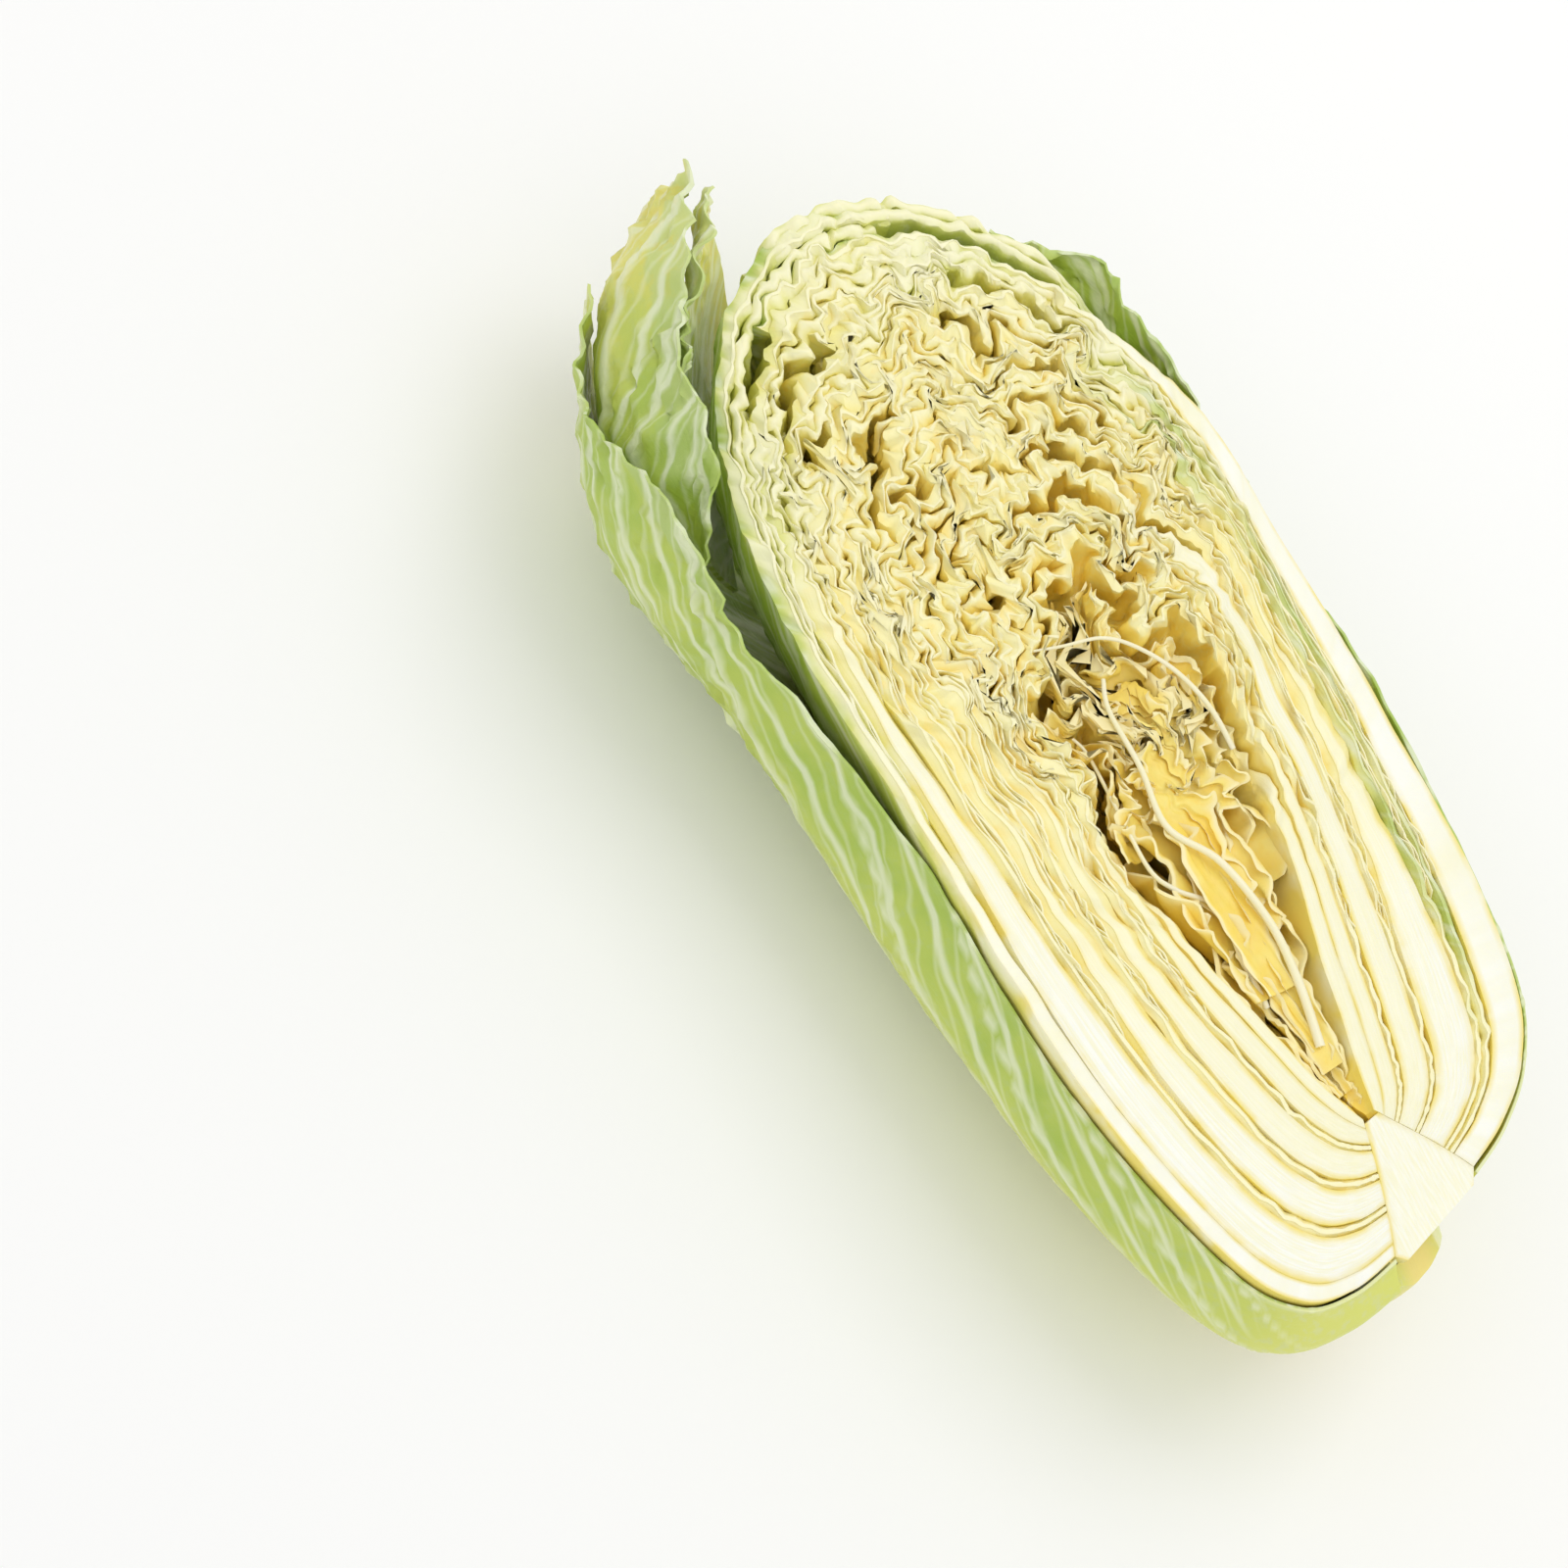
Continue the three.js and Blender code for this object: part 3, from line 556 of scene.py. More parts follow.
def outer_green(leaf, flank, side, depth, way, below):
    """Green and veins of the outermost leaf's outer face, and green in two thin leaves of the right flank."""
    if leaf in (1, 2) and flank < 0:
        streak = 0.45 + 0.35 * ripple(way * 26 + 0 * below, 31 + leaf)
        return {"green": np.clip(streak, 0, 0.8) * smooth(0.26, 0.36, way) * (1 - smooth(0.72, 0.85, way))}
    if leaf > 0:
        return {}
    face = np.where(side < -0.5, 1.0, 0.0) * smooth(0.6, 2.2, depth) * smooth(0.26, 0.44, way)
    vein = vein_mask(way, below, OUTER_RIB_AT, 3) * face
    return {"green": face, "vein": vein, "lane": np.abs(below - OUTER_RIB_AT)}


def cut_leaf(rings, leaves, k, flank, blade, fine):
    """The main sheet of a cut leaf."""
    way = leaf_stops(0, 1 + leaves[k][3], fine)
    share, side = ring_plan(np.linspace(0, 1, int(18 * fine) + 6) ** 1.9, 4)
    t = np.where(way <= 1, way, 2 - way)
    draw = draws(1000 + 37 * k + (0 if flank > 0 else 500))
    margin, rim = next(draw) * 2 * math.pi, next(draw) * 2 * math.pi
    root_reach = mix(ROOT_REACH + 6, LEAF_REACH, smooth(0, 0.12, way))
    reach = mix(root_reach, CROWN_REACH, smooth(0.45, 0.8, way))
    reach = reach + MARGIN_WAVE * np.sin(way * 26 + margin) * smooth(0.3, 0.6, way)
    seed = 40 * k + (7 if flank > 0 else 19)
    low, high, middle, _, _, rib = lane(leaves, k, flank, t, 0 * way)
    shell = low + middle * (high - low)
    loose = smooth(0.3, 0.55, t) * (1 - 0.85 * rib)
    upper = 0.8 * np.sin(way * 44 + rim) * smooth(0.45, 0.7, way) * (1 - rib)
    upper = upper + torn_rim(shell, way, t, flank, seed, loose)
    below = mix(upper, reach, share)
    rim_depth = (below - upper) * degree_size(shell, t)
    low, high, middle, spread, rib_half, rib = lane(leaves, k, flank, t, below)
    slot = (high - low) * spread
    thin = 0.5 * blade * (1 + 0.25 * ripple(way * 110, seed + 3))
    half = np.maximum(0.3, np.minimum(rib_half, mix(thin, rib_half, rib)))
    outward = np.where(side < 0, middle, 1 - middle)
    folded_side = (side > 0) if flank > 0 else (side < 0)
    shared = smooth(0.5, 0.7, t)
    room = np.where(folded_side, mix(outward, outward / 6, shared), outward) * slot + CLOSED
    half = filled(half, room, rim_depth, mix(VALLEY, RIB_VALLEY, rib))
    free = np.clip(rib_half - thin, 0, 0.5) * (1 - rib) * smooth(0.1, 0.3, t)
    curl = CURL * ripple(way * 130, seed + 4) * np.exp(-rim_depth / 2) * loose
    wiggle = free * ripple(way * 110 + below * 0.12, seed + 11) + curl
    shell = low + middle * (high - low) + (side * half + wiggle) / spread
    points = crinkle(folded(shell, way, below, flank))
    points[..., 2] += np.where(np.abs(side) < 1, (1 - side * side) * half * 0.07, 0)
    skin = np.maximum(smooth(0.6, 1, np.abs(side)), 1 - smooth(0, 0.012, way))
    depth = -points[..., 2]
    rings.add(points, **leaf_masks(points, rim_depth, shell, side, rib, skin=skin, along=t * LEAF_LENGTH,
                                   **outer_green(k, flank, side, depth, way, below)))


def leaf_fold(rings, leaves, k, flank, fold, folds, end, blade, fine):
    """One of a leaf's folds, which fill the space between its main sheet and the next leaf."""
    share_of_slot = fold / folds
    start = max(leaves[k][1] - 0.14, 0.36)
    way = leaf_stops(start, end, fine)
    share, side = ring_plan(np.linspace(0, 1, int(11 * fine) + 4) ** 1.7, 2)
    t = np.where(way <= 1, way, 2 - way)
    seed = 900 + 53 * k + int(share_of_slot * 17) + (0 if flank > 0 else 400)
    rise = smooth(start, start + 0.07, way) * (1 - smooth(end - 0.03, end, way))

    def place(below):
        low, high, middle, spread, rib_half, rib = lane(leaves, k, flank, t, below)
        main = mix(0.5 * blade, rib_half, rib) / spread / (high - low)
        if flank > 0:
            free = 1 - middle - main
            spot = middle + main + free * share_of_slot
        else:
            free = middle - main
            spot = free * (1 - share_of_slot)
        return low + spot * (high - low), spread, free * (high - low) * spread / folds

    shell, _, _ = place(0 * way)
    upper = torn_rim(shell, way, t, flank, seed, 1) + (1 - rise) * 8
    below = mix(upper, np.maximum(42 + 8 * ripple(way * 30, seed), upper + 8), share)
    rim_depth = (below - upper) * degree_size(shell, t)
    shell, spread, spacing = place(below)
    half = np.maximum(0.1, 0.5 * blade * (0.85 + 0.25 * ripple(way * 110, seed + 3)) * mix(0.25, 1, rise))
    half = np.minimum(half, 0.4 * np.maximum(spacing, 0.25))
    half = filled(half, 0.5 * spacing + CLOSED, rim_depth, VALLEY)
    curl = CURL * ripple(way * 130, seed + 4) * np.exp(-rim_depth / 2)
    wiggle = 0.5 * ripple(way * 150 + below * 0.12, seed + 11) + curl
    shell = shell + (side * half + wiggle) / spread
    points = crinkle(folded(shell, way, below, flank))
    rings.add(points, **leaf_masks(points, rim_depth, shell, side, 0.0, skin=0.0, along=t * LEAF_LENGTH))


def row_at(rows, way):
    """The columns of a wrapper's rows at a way."""
    table = np.asarray(rows, float)
    return [np.interp(way, table[:, 0], table[:, column]) for column in range(1, 6)]


def wrapper_sheet(rings, index, flank, rib_at, rib, rows, fine):
    """A loose wrapper leaf, with raised veins on a waved blade."""
    draw = draws(300 + index)
    upper, lower, wave = (next(draw) * 2 * math.pi for _ in range(3))
    way = np.linspace(rows[0][0], rows[-1][0], int(WRAPPER_STOPS * fine) + 20)[:, None]
    share, side = ring_plan(np.linspace(0, 1, int(66 * fine) + 12), 2)
    first, last, off_flank, off_under, lean = row_at(rows, way)
    loose = smooth(0.3, 0.6, way)
    ragged = ripple(way * 120, 61 + index, 7, 0.4, 2.6) * smooth(0.42, 0.6, way)
    low = first + 2.5 * np.sin(way * 31 + upper) * loose + 1.2 * ragged
    high = last - 4 * np.sin(way * 27 + lower) * loose * smooth(84, 100, last)
    high = high + 1.2 * ragged * smooth(0.8, 0.9, way)
    below = mix(low, high, share)
    near_rib = 1 - smooth(6, 36, np.abs(below - rib_at))
    edge = smooth(0, MARGIN_WIDTH, below - low)
    thick = (1 - smooth(0.3, 0.75, way)) * mix(0.55, 1, near_rib) * edge
    half = 0.5 * mix(mix(0.8, WRAPPER_BLADE, edge), rib, thick)
    under = smooth(*UNDERSIDE, below)
    off = mix(off_flank, off_under, under) - lean * (1 - smooth(low, low + LEAN_WIDTH, below))
    waved = OUTER_WAVE * smooth(0.45, 0.7, way) * np.sin(way * 29 + below * 0.1 + wave)
    waved = waved * (1 - near_rib) * (1 - under)
    frill = 0.9 * ripple(way * 170, 71 + index) * (1 - smooth(0, 9, below - low)) * smooth(0.45, 0.6, way)
    vein = vein_mask(way, below, rib_at, index)
    pucker = 0.8 * ripple(way * 170 + below * 0.35, 5) * ripple(below * 1.1 - way * 60, 9)
    off = off + half + waved + frill + pucker * smooth(0.35, 0.6, way) * (1 - near_rib) - side * half
    off = off + np.where(side < 0, 0.4 * vein, -0.2 * vein)
    points = outside(off, way, below, flank)
    away = np.minimum(below - low, high - below)
    strip = 0.85 * smooth(0.16, 0.4, way) * (1 - smooth(10, 30, below - low))
    tower = 1 - 0.5 * smooth(0.74, 0.9, way)
    face = np.where(side > 0, 0.95 * smooth(0.08, 0.3, way), 0.7 * smooth(0.28, 0.66, way))
    green = np.maximum(face, strip) * tower
    masks = leaf_masks(points, away, 0 * below, side, thick * near_rib, skin=0.0, along=way * LEAF_LENGTH,
                       green=green, vein=vein, lane=np.abs(below - rib_at), warm=smooth(0.72, 0.92, way))
    rings.add(points, **masks)


def vein_mask(way, below, rib_at, seed):
    """1 on the main side veins, which leave the midrib at a slant and thin out towards the margin."""
    away = np.abs(below - rib_at)
    phase = way * RAISED_VEINS - away * RAISED_SLANT + 0.25 * np.sin(away * 0.06 + way * 9 + seed)
    near = np.abs(phase - np.round(phase))
    width = 0.16 * np.exp(-away / 55) + 0.035
    return (1 - smooth(width * 0.35, width, near)) * smooth(0.1, 0.3, way)


def heart_sheet(rings, leaf, index, fine, depth_share=1.0):
    """A small curled leaf in the hollow, with a torn and frilled margin."""
    ring, first, last, start, end = leaf
    way = np.linspace(start, end, int(HEART_STOPS * fine) + 10)[:, None]
    share, side = ring_plan(np.linspace(0, 1, int(30 * fine) + 6), 2)
    seed = 500 + 31 * index
    tear = 16 * smooth(-0.6, 1.4, ripple(way * 45, seed)) + 4 * ripple(way * 110, seed + 1)
    low = first + tear * (1.4 if first < 90 else 0.6)
    high = last - tear * (1.4 if last > 90 else 0.6)
    around = mix(low, high, share)
    x, w, _ = contour(1.0, way)
    shoulder_x, shoulder_w, _ = contour(1.0, np.minimum(way, SHOULDER_T))
    half = 0.5 * mix(0.6, 1.0, smooth(start, start + 0.2, way)) * (1 + 0.3 * ripple(way * 90, seed + 2))
    near_rim = np.exp(-np.minimum(around - low, high - around) / 12)
    crease = (0.03 + 0.08 * near_rim) * ripple(way * 85 + around * 0.12, seed + 3) * smooth(0.2, 0.5, way)
    bend = 0.09 * ripple(way * 30 + around * 0.03, seed + 4) * smooth(0.15, 0.4, way)
    size = ring * (1 + bend) + crease - side * half / np.maximum(shoulder_w, 4)
    px = shoulder_x + (x - shoulder_x) * size
    deep = depth_share * HEART_DEPTH_RATIO * size * shoulder_w * np.sin(rad(around)) + 1.5
    points = crinkle(settle(px, size * w * np.cos(rad(around)), -deep, np.ones_like(px)))
    rim_depth = np.minimum(around - low, high - around) * degree_size(1.0, way)
    masks = leaf_masks(points, rim_depth / 2, np.ones_like(around), side, 0.0, skin=0.0,
                       along=way * LEAF_LENGTH)
    rings.add(points, **masks)


def strand(rings, radius, path, fine):
    """A thin young rib that bends through the hollow."""
    rows = int(60 * fine) + 8
    line = through(path, np.linspace(0, 1, rows))
    ahead = np.gradient(line, axis=0)
    ahead /= np.linalg.norm(ahead, axis=1)[:, None]
    across = np.cross(ahead, (0, 0, 1))
    across /= np.linalg.norm(across, axis=1)[:, None]
    up = np.cross(across, ahead)
    turn = np.linspace(0, 2 * math.pi, STRAND_SIDES, endpoint=False)[None, :, None]
    size = radius * np.linspace(0.45, 1, rows)[:, None, None]
    points = line[:, None] + size * (np.cos(turn) * across[:, None] + 0.8 * np.sin(turn) * up[:, None])
    points[..., 2] += STRAND_LIFT
    depth = -points[..., 2]
    along = np.linspace(0, 80, rows)[:, None]
    masks = leaf_masks(points, 9 + 0 * depth, 0.9 + 0 * depth, 0 * depth, 0.9, skin=0.1, along=along,
                       deep=0 * depth, gold=0.6)
    rings.add(points, **masks)


def core_rings(stations, sides, gap):
    """Rings of the stem core, in head coordinates."""
    x0, w0, _ = contour(0.0, np.zeros(1))
    rows = [(x0[0] - STUMP_LENGTH, w0[0] - gap - 2.5, 0.0)]
    for shell in np.linspace(0, 0.96, stations):
        x, w, _ = contour(shell, np.zeros(1))
        rows.append((x[0] - gap, w[0] - gap * 0.5, shell))
    angle = np.linspace(0, math.pi, sides + 1)
    out = []
    for x, radius, shell in rows:
        out.append(settle(np.full_like(angle, x), radius * np.cos(angle),
                          -depth_ratio(shell) * radius * np.sin(angle), np.full_like(angle, shell)))
    return np.stack(out)


# Where the head's root lies in the frame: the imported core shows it
core_low = np.array(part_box("stem_core")[0]) / MM
HEAD_TO_FRAME = core_low - core_rings(8, 10, CORE_GAP).reshape(-1, 3).min(axis=0)


def colour(code):
    """Linear colour from a screen colour code."""
    parts = [int(code[i:i + 2], 16) / 255 for i in (0, 2, 4)]
    return (*[p / 12.92 if p <= 0.04045 else ((p + 0.055) / 1.055) ** 2.4 for p in parts], 1)


class Tree:
    """Short calls that add nodes to a tree and link them. A value may be a number, colour or socket."""

    def __init__(self, tree):
        self.nodes, self.links = tree.nodes, tree.links

    def feed(self, socket, value):
        if isinstance(value, bpy.types.NodeSocket):
            self.links.new(value, socket)
        else:
            socket.default_value = value

    def calc(self, operation, a, b=0.0, clamp=True):
        node = self.nodes.new("ShaderNodeMath")
        node.operation = operation
        node.use_clamp = clamp
        self.feed(node.inputs[0], a)
        self.feed(node.inputs[1], b)
        return node.outputs[0]

    def times(self, a, b, clamp=True):
        return self.calc("MULTIPLY", a, b, clamp)

    def plus(self, a, b, clamp=True):
        return self.calc("ADD", a, b, clamp)

    def blend(self, factor, a, b):
        node = self.nodes.new("ShaderNodeMix")
        node.data_type = "RGBA"
        for key, value in (("Factor_Float", factor), ("A_Color", a), ("B_Color", b)):
            self.feed(next(i for i in node.inputs if i.identifier == key), value)
        return next(o for o in node.outputs if o.identifier == "Result_Color")

    def step(self, value, low, high):
        node = self.nodes.new("ShaderNodeMapRange")
        node.interpolation_type = "SMOOTHSTEP"
        self.feed(node.inputs["Value"], value)
        node.inputs["From Min"].default_value = low
        node.inputs["From Max"].default_value = high
        return node.outputs["Result"]

    def veins(self, value, wander, gap, slant, width):
        """1 on thin lines gap mm apart that run up the leaf at a slant, slant mm for each degree."""
        up = self.calc("DIVIDE", value["along"], gap, False)
        out = self.times(value["lane"], slant / gap, False)
        bent = self.calc("SUBTRACT", up, out, False)
        phase = self.plus(bent, self.times(wander, 12 / gap, False), False)
        return self.step(self.calc("PINGPONG", phase, 0.5), width, 0)

    def noise(self, place, scale, detail=3):
        node = self.nodes.new("ShaderNodeTexNoise")
        node.inputs["Scale"].default_value = scale
        node.inputs["Detail"].default_value = detail
        self.links.new(place, node.inputs["Vector"])
        return node.outputs["Fac"]

    def read(self, name):
        node = self.nodes.new("ShaderNodeAttribute")
        node.attribute_name = name
        return node.outputs["Fac"]


MASKS = ("rib", "deep", "rim", "warm", "gold", "skin", "green", "vein", "lane", "along")
# The three gap colours are painted shade: darker, more golden yellows for surfaces below the cut rims. The
# gold one also colours golden specks.
TINTS = {
    "Rib": "FAFAEE", "Inner Rib": "F9F5D4", "Strand": "F5F0C0", "Skin": "F4DF70",
    "Pale Blade": "F2F2C0", "Warm Blade": "FBEE92", "Rim": "FDF8CE",
    "Pale Painted Shade": "DCE070", "Warm Painted Shade": "FFEC84", "Gold Speck And Painted Shade": "FFE060",
    "Green": "A3BF42", "Vein": "F0F4DA",
}
HEART_TINTS = {"Warm Blade": "FFDA58", "Rim": "FFF5C0"}
WRAPPER_TINTS = {
    "Rib": "E4E6C6", "Inner Rib": "E4E6C6", "Pale Blade": "D3D9A2", "Warm Blade": "EAE88E",
    "Rim": "E6EBB4", "Green": "9DBB40",
}

# Scales of the mottling per metre: broad patches, flecks, golden specks, puckers and the wander of the
# veins. Fibres have their own scale across the leaf, and a stretch along it.
PATCH_SCALE = 70
FLECK_SCALE = 420
SPECK_SCALE = 240
PUCKER_SCALE = 900
WANDER_SCALE = 28
FIBRE_SCALE = 1.6
FIBRE_STRETCH = 0.03

# Side veins, main and fine: gap in mm, slant in mm for each degree, and half width as a share of the gap
MAIN_VEINS = (17, 1.9, 0.17)
FINE_VEINS = (6, 1.2, 0.2)


def tissue_group():
    """Leaf tissue: its colour, its relief and its gloss from the masks, mottled and streaked, with painted
    shade on surfaces below the cut rims.
    """
    name = "leaf_tissue"
    if name in bpy.data.node_groups:
        return bpy.data.node_groups[name]
    group = bpy.data.node_groups.new(name, "ShaderNodeTree")
    for label in MASKS:
        group.interface.new_socket(label, in_out="INPUT", socket_type="NodeSocketFloat")
    for label, code in TINTS.items():
        socket = group.interface.new_socket(label, in_out="INPUT", socket_type="NodeSocketColor")
        socket.default_value = colour(code)
    for label, kind in (("Colour", "Color"), ("Relief", "Float"), ("Roughness", "Float")):
        group.interface.new_socket(label, in_out="OUTPUT", socket_type="NodeSocket" + kind)
    tree = Tree(group)
    value = tree.nodes.new("NodeGroupInput").outputs
    result = tree.nodes.new("NodeGroupOutput").inputs
    place = tree.nodes.new("ShaderNodeTexCoord").outputs["Object"]
    patches = tree.step(tree.noise(place, PATCH_SCALE), 0.35, 0.65)
    fleck = tree.step(tree.noise(place, FLECK_SCALE), 0.3, 0.7)
    fibre_place = tree.nodes.new("ShaderNodeCombineXYZ")
    tree.feed(fibre_place.inputs["X"], value["lane"])
    tree.feed(fibre_place.inputs["Y"], tree.times(value["along"], FIBRE_STRETCH, False))
    fibres = tree.step(tree.noise(fibre_place.outputs[0], FIBRE_SCALE, 5), 0.35, 0.7)
    wander = tree.noise(place, WANDER_SCALE, 2)
    main_veins = tree.veins(value, wander, *MAIN_VEINS)
    fine_veins = tree.veins(value, wander, *FINE_VEINS)

    blade = tree.blend(value["warm"], value["Pale Blade"], value["Warm Blade"])
    blade = tree.blend(tree.times(patches, 0.3), blade, value["Rim"])
    # Painted shade: from about a millimetre below the cut, surfaces take a darker, more golden gap colour,
    # which is more golden on inner leaves.
    painted_shade = tree.blend(value["warm"], value["Pale Painted Shade"], value["Warm Painted Shade"])
    painted_shade = tree.blend(tree.times(value["gold"], tree.plus(patches, 0.3)), painted_shade, value["Gold Speck And Painted Shade"])
    shade_share = tree.times(tree.step(value["deep"], 0.1, 1.3), tree.plus(fleck, 0.6))
    tissue = tree.blend(shade_share, blade, painted_shade)
    specks = tree.step(tree.noise(place, SPECK_SCALE, 4), 0.52, 0.66)
    specks = tree.times(specks, tree.times(value["warm"], 0.6))
    tissue = tree.blend(specks, tissue, value["Gold Speck And Painted Shade"])
    tissue = tree.blend(tree.times(value["rim"], 0.75), tissue, value["Rim"])
    dappled = tree.plus(tree.times(patches, 0.25), 0.75)
    leafy = tree.times(value["green"], dappled)
    tissue = tree.blend(leafy, tissue, value["Green"])
    lines = tree.plus(main_veins, tree.times(fine_veins, 0.4))
    lines = tree.times(lines, tree.step(value["green"], 0.1, 0.5))
    lines = tree.times(tree.calc("MAXIMUM", value["vein"], lines), 0.62)
    tissue = tree.blend(lines, tissue, value["Vein"])
    rib = tree.blend(value["gold"], value["Rib"], value["Inner Rib"])
    rib = tree.blend(tree.times(fibres, 0.6), rib, value["Strand"])
    skin = tree.times(value["skin"], tree.plus(patches, 0.25))
    rib = tree.blend(skin, rib, value["Skin"])
    buried = tree.times(tree.step(value["deep"], 0.6, 5), 0.8)
    rib = tree.blend(buried, rib, value["Skin"])
    tree.feed(result["Colour"], tree.blend(value["rib"], tissue, rib))
    pucker = tree.noise(place, PUCKER_SCALE, 2)
    relief = tree.plus(tree.times(pucker, 0.5), tree.times(fibres, 0.25))
    tree.feed(result["Relief"], relief)
    rough = tree.plus(tree.times(fleck, 0.18), 0.34)
    tree.feed(result["Roughness"], rough)
    return group


def leaf_material(name, tints, glow):
    """A leaf material. tints replaces colours of the tissue, and the scene's settings hold the rest of
    the main ones. glow is how far light spreads in it, in m."""
    if name in bpy.data.materials:
        return bpy.data.materials[name]
    material = bpy.data.materials.new(name)
    material.use_nodes = True
    tree = Tree(material.node_tree)
    shader = tree.nodes["Principled BSDF"].inputs
    tissue = tree.nodes.new("ShaderNodeGroup")
    tissue.node_tree = tissue_group()
    for label in MASKS:
        tree.feed(tissue.inputs[label], tree.read(label))
    settings = bpy.context.scene.cabbage_colours
    for label, code in {**TINTS, **tints}.items():
        key = label.lower().replace(" ", "_")
        chosen = key in settings.__annotations__ and label not in tints
        tissue.inputs[label].default_value = getattr(settings, key) if chosen else colour(code)
    bump = tree.nodes.new("ShaderNodeBump")
    bump.inputs["Strength"].default_value = 0.3
    bump.inputs["Distance"].default_value = 0.0005
    tree.feed(bump.inputs["Height"], tissue.outputs["Relief"])
    tree.feed(shader["Base Color"], tissue.outputs["Colour"])
    tree.feed(shader["Roughness"], tissue.outputs["Roughness"])
    tree.feed(shader["Normal"], bump.outputs["Normal"])
    shader["Coat Weight"].default_value = 0.12
    shader["Coat Roughness"].default_value = 0.2
    shader["Subsurface Weight"].default_value = 0.12
    shader["Subsurface Radius"].default_value = (1.0, 0.9, 0.45)
    shader["Subsurface Scale"].default_value = glow
    return material


def head_material():
    return leaf_material("crinkled_leaf", {}, 0.0035)


def heart_material():
    return leaf_material("golden_heart", HEART_TINTS, 0.003)


def outer_material():
    return leaf_material("veined_wrapper", WRAPPER_TINTS, 0.002)


def place_piece(piece, node):
    """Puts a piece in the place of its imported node."""
    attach(piece, "root")
    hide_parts(node)


class CABBAGE_PG_leaves(bpy.types.PropertyGroup):
    """Sizes of the cut leaves."""

    blade: FloatProperty(name="Blade", description="Thickness of a leaf's blade in millimetres",
                         default=0.95, min=0.6, max=3)
    detail: FloatProperty(name="Detail", description="Share of the full number of points",
                          default=0.72, min=0.1, max=1)


def tint(label, description):
    """A colour setting whose default is the tissue's own."""
    return FloatVectorProperty(name=label, description=description, default=colour(TINTS[label]),
                               subtype="COLOR", size=4, min=0, max=1)


class CABBAGE_PG_colours(bpy.types.PropertyGroup):
    """Colours of the leaf tissue."""

    rib: tint("Rib", "Cut ribs of the outer leaves")
    inner_rib: tint("Inner Rib", "Cut ribs near the heart")
    pale_blade: tint("Pale Blade", "Blades at the outside")
    warm_blade: tint("Warm Blade", "Blades further in")
    rim: tint("Rim", "Cut rims of the blades")
    green: tint("Green", "Green parts of the leaves")


class CABBAGE_PG_stage(bpy.types.PropertyGroup):
    """Floor, lights and camera."""

    focal: FloatProperty(name="Focal length", description="Camera lens in millimetres",
                         default=85, unit="CAMERA")
    key_power: FloatProperty(name="Key light", description="Power of the main soft light",
                             default=3.7, unit="POWER")
    world_light: FloatProperty(name="World light", description="Strength of the even light", default=0.86)
    floor_size: FloatProperty(name="Floor", description="Side of the square floor", default=8, unit="LENGTH")


def fold_count(k):
    """How many folds fill the space inside leaf k: none in the innermost, more in the outer ones."""
    if k == LEAF_COUNT - 1:
        return 0
    return 3 if k < 5 else 2


def build_flank(context, leaves, flank, word):
    """The cut leaves of one flank, each with its folds as one piece."""
    settings = context.scene.cabbage_leaves
    for k in range(LEAF_COUNT):
        rings = Rings()
        cut_leaf(rings, leaves, k, flank, settings.blade, settings.detail)
        over = 1 + min(leaves[k][3], 0.1)
        near, far = (over, 0.8) if flank > 0 else (0.8, over)
        folds = fold_count(k)
        for fold in range(1, folds + 1):
            end = near if fold < 2 else far
            leaf_fold(rings, leaves, k, flank, fold, folds, end, settings.blade * FOLD_THINNER,
                      settings.detail)
        piece = rings.to_object(f"{word}_leaf_{k + 1}_crinkled", head_material())
        place_piece(piece, f"{word}_leaf_{k + 1}")


class CABBAGE_OT_leaves(bpy.types.Operator):
    """Build the cut leaves of both flanks."""

    bl_idname = "cabbage.cut_leaves"
    bl_label = "Cut leaves"

    def execute(self, context):
        build_flank(context, LEFT_LEAVES, 1, "left")
        build_flank(context, RIGHT_LEAVES, -1, "right")
        return {"FINISHED"}


class CABBAGE_OT_heart(bpy.types.Operator):
    """Build the small leaves of the heart."""

    bl_idname = "cabbage.heart"
    bl_label = "Heart leaves"

    def execute(self, context):
        detail = context.scene.cabbage_leaves.detail
        for i, leaf in enumerate(HEART_LEAVES):
            rings = Rings()
            heart_sheet(rings, leaf, i, detail)
            heart_sheet(rings, HEART_FOLDS[i][0], i + 5, detail, HEART_FOLDS[i][1])
            if i < len(STRANDS):
                strand(rings, *STRANDS[i], detail)
            piece = rings.to_object(f"heart_leaf_{i + 1}_curled", heart_material())
            place_piece(piece, f"heart_leaf_{i + 1}")
        return {"FINISHED"}


class CABBAGE_OT_wrappers(bpy.types.Operator):
    """Build the loose wrapper leaves."""

    bl_idname = "cabbage.wrappers"
    bl_label = "Wrapper leaves"

    def execute(self, context):
        for i, wrapper in enumerate(WRAPPERS):
            rings = Rings()
            wrapper_sheet(rings, i, *wrapper[1:], context.scene.cabbage_leaves.detail)
            if wrapper[0] == "wrapper_left_inner":
                wrapper_sheet(rings, 7, 1, 30, 1, RUFFLE, context.scene.cabbage_leaves.detail)
            piece = rings.to_object(f"{wrapper[0]}_veined", outer_material())
            place_piece(piece, wrapper[0])
        return {"FINISHED"}


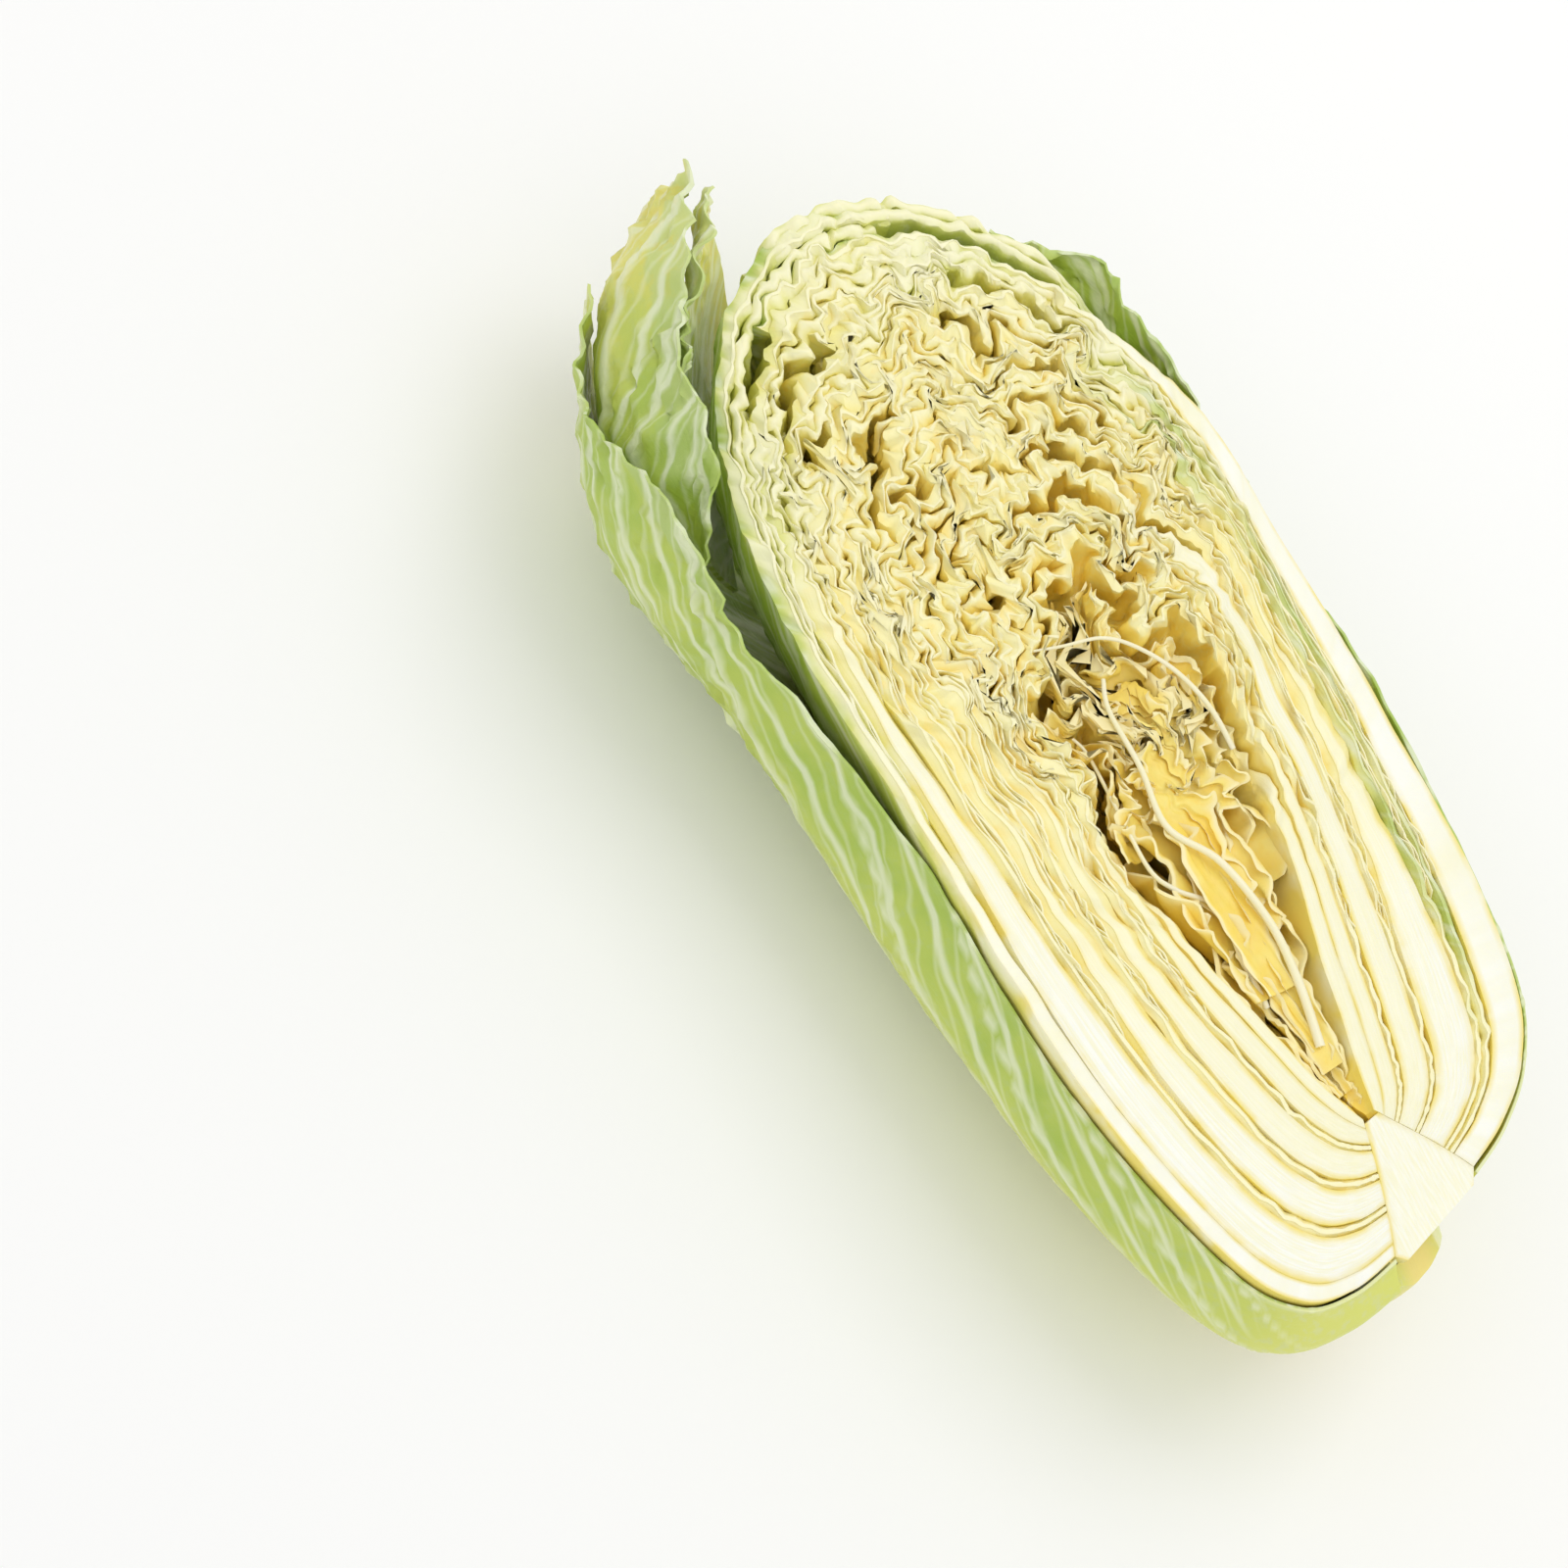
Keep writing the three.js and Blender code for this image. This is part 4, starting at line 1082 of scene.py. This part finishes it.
class CABBAGE_OT_core(bpy.types.Operator):
    """Build the cut stem core."""

    bl_idname = "cabbage.core"
    bl_label = "Stem core"

    def execute(self, context):
        rings = Rings()
        points = core_rings(40, 40, 0.1)
        cut = np.linspace(points[:, -1], points[:, 0], 24)[1:-1].transpose(1, 0, 2)
        loop = np.concatenate([points, cut], axis=1)
        across = np.linalg.norm(points[:, -1] - points[:, 0], axis=1)[:, None]
        middle = (points[:, -1] + points[:, 0])[:, None] / 2
        to_side = across / 2 - np.abs(loop - middle)[..., 1]
        skin = 1 - smooth(0.3, 2.2, to_side)
        masks = leaf_masks(loop, 9 + 0 * skin, 0.5 + 0 * skin, 0 * skin, 1.0, skin=skin,
                           along=loop[..., 0] * 3, lane=loop[..., 1])
        rings.add(loop, **masks)
        piece = rings.to_object("stem_core_cut", head_material(), 35)
        place_piece(piece, "stem_core")
        return {"FINISHED"}


# Where the camera stands: tilt of the cut against the view, its direction in the picture, the
# picture direction of the head's length, and the root's place and size in the picture
TILT, TILT_TO, LENGTH_TO = 31, 50, 117.9
ROOT_PIXEL = (1462, 1232)
PIXELS_PER_MM = 4.3
PICTURE = 1600
SENSOR = 36

# Floor, and places and sizes of the lights in metres
FLOOR_COLOUR = (0.97, 0.97, 0.96, 1)
KEY_PLACE = (0.12, -0.45, 1.35)
KEY_SIZE = 0.9
FILL_PLACE = (0.5, 0.9, 0.8)
FILL_SIZE = 1.2
FILL_SHARE = 0.08


class CABBAGE_OT_stage(bpy.types.Operator):
    """Set up the floor, lights and camera."""

    bl_idname = "cabbage.stage"
    bl_label = "Stage"

    def execute(self, context):
        settings = context.scene.cabbage_stage
        scene = context.scene
        half = settings.floor_size / 2
        mesh = bpy.data.meshes.new("floor")
        corners = [(-half, -half, 0), (half, -half, 0), (half, half, 0), (-half, half, 0)]
        mesh.from_pydata(corners, [], [(0, 1, 2, 3)])
        floor = bpy.data.objects.new("floor", mesh)
        paint = bpy.data.materials.new("floor")
        paint.use_nodes = True
        shader = paint.node_tree.nodes["Principled BSDF"].inputs
        shader["Base Color"].default_value = FLOOR_COLOUR
        shader["Roughness"].default_value = 0.9
        mesh.materials.append(paint)
        scene.collection.objects.link(floor)

        world = bpy.data.worlds.new("studio")
        world.use_nodes = True
        sky = world.node_tree.nodes["Background"].inputs
        sky["Color"].default_value = (1, 1, 1, 1)
        sky["Strength"].default_value = settings.world_light
        scene.world = world

        focal_px = settings.focal / SENSOR * PICTURE
        tilt, to, along = (math.radians(v) for v in (TILT, TILT_TO, LENGTH_TO))
        up = Vector((math.sin(tilt) * math.cos(to), math.sin(tilt) * math.sin(to), math.cos(tilt)))
        flat = Vector((math.cos(along), math.sin(along), 0))
        flat.z = -(flat.x * up.x + flat.y * up.y) / up.z
        length = flat.normalized()
        left = up.cross(length)
        turn = Matrix((length, left, up)).transposed()
        distance = focal_px / PIXELS_PER_MM
        across, down = ((pixel - PICTURE / 2) / focal_px for pixel in ROOT_PIXEL)
        root = Vector((across, -down, -1))
        place = -(turn.transposed() @ (root * distance)) + Vector(HEAD_TO_FRAME)
        data = bpy.data.cameras.new("camera")
        data.lens = settings.focal
        data.sensor_width = SENSOR
        camera = bpy.data.objects.new("camera", data)
        camera.matrix_world = Matrix.Translation(place * MM) @ turn.transposed().to_4x4()
        scene.collection.objects.link(camera)
        scene.camera = camera
        scene.view_settings.view_transform = "Standard"

        add_area(scene, "key", KEY_PLACE, KEY_SIZE, settings.key_power)
        add_area(scene, "fill", FILL_PLACE, FILL_SIZE, settings.key_power * FILL_SHARE)
        return {"FINISHED"}


def add_area(scene, name, place, size, power):
    """A soft square light that faces the cabbage."""
    data = bpy.data.lights.new(name, "AREA")
    data.shape = "SQUARE"
    data.size = size
    data.energy = power
    light = bpy.data.objects.new(name, data)
    light.location = place
    light.rotation_euler = (-Vector(place)).to_track_quat("-Z", "Y").to_euler()
    scene.collection.objects.link(light)


class CABBAGE_PT_panel(bpy.types.Panel):
    """Lists the steps that build the cabbage."""

    bl_idname = "CABBAGE_PT_panel"
    bl_label = "Half napa cabbage"
    bl_space_type = "VIEW_3D"
    bl_region_type = "UI"
    bl_category = "Cabbage"

    def draw(self, context):
        column = self.layout.column()
        scene = context.scene
        for settings in (scene.cabbage_leaves, scene.cabbage_colours, scene.cabbage_stage):
            for key in settings.__annotations__:
                column.prop(settings, key)
        for step in STEPS:
            column.operator(step.bl_idname)


STEPS = (CABBAGE_OT_stage, CABBAGE_OT_leaves, CABBAGE_OT_heart, CABBAGE_OT_wrappers, CABBAGE_OT_core)
CLASSES = (CABBAGE_PG_leaves, CABBAGE_PG_colours, CABBAGE_PG_stage, *STEPS, CABBAGE_PT_panel)


def register():
    for cls in CLASSES:
        bpy.utils.register_class(cls)
    bpy.types.Scene.cabbage_leaves = PointerProperty(type=CABBAGE_PG_leaves)
    bpy.types.Scene.cabbage_colours = PointerProperty(type=CABBAGE_PG_colours)
    bpy.types.Scene.cabbage_stage = PointerProperty(type=CABBAGE_PG_stage)


def unregister():
    del bpy.types.Scene.cabbage_stage
    del bpy.types.Scene.cabbage_colours
    del bpy.types.Scene.cabbage_leaves
    for cls in reversed(CLASSES):
        bpy.utils.unregister_class(cls)


def main():
    register()
    bpy.ops.cabbage.stage()
    bpy.ops.cabbage.cut_leaves()
    bpy.ops.cabbage.heart()
    bpy.ops.cabbage.wrappers()
    bpy.ops.cabbage.core()
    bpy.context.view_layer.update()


if __name__ == "__main__":
    main()
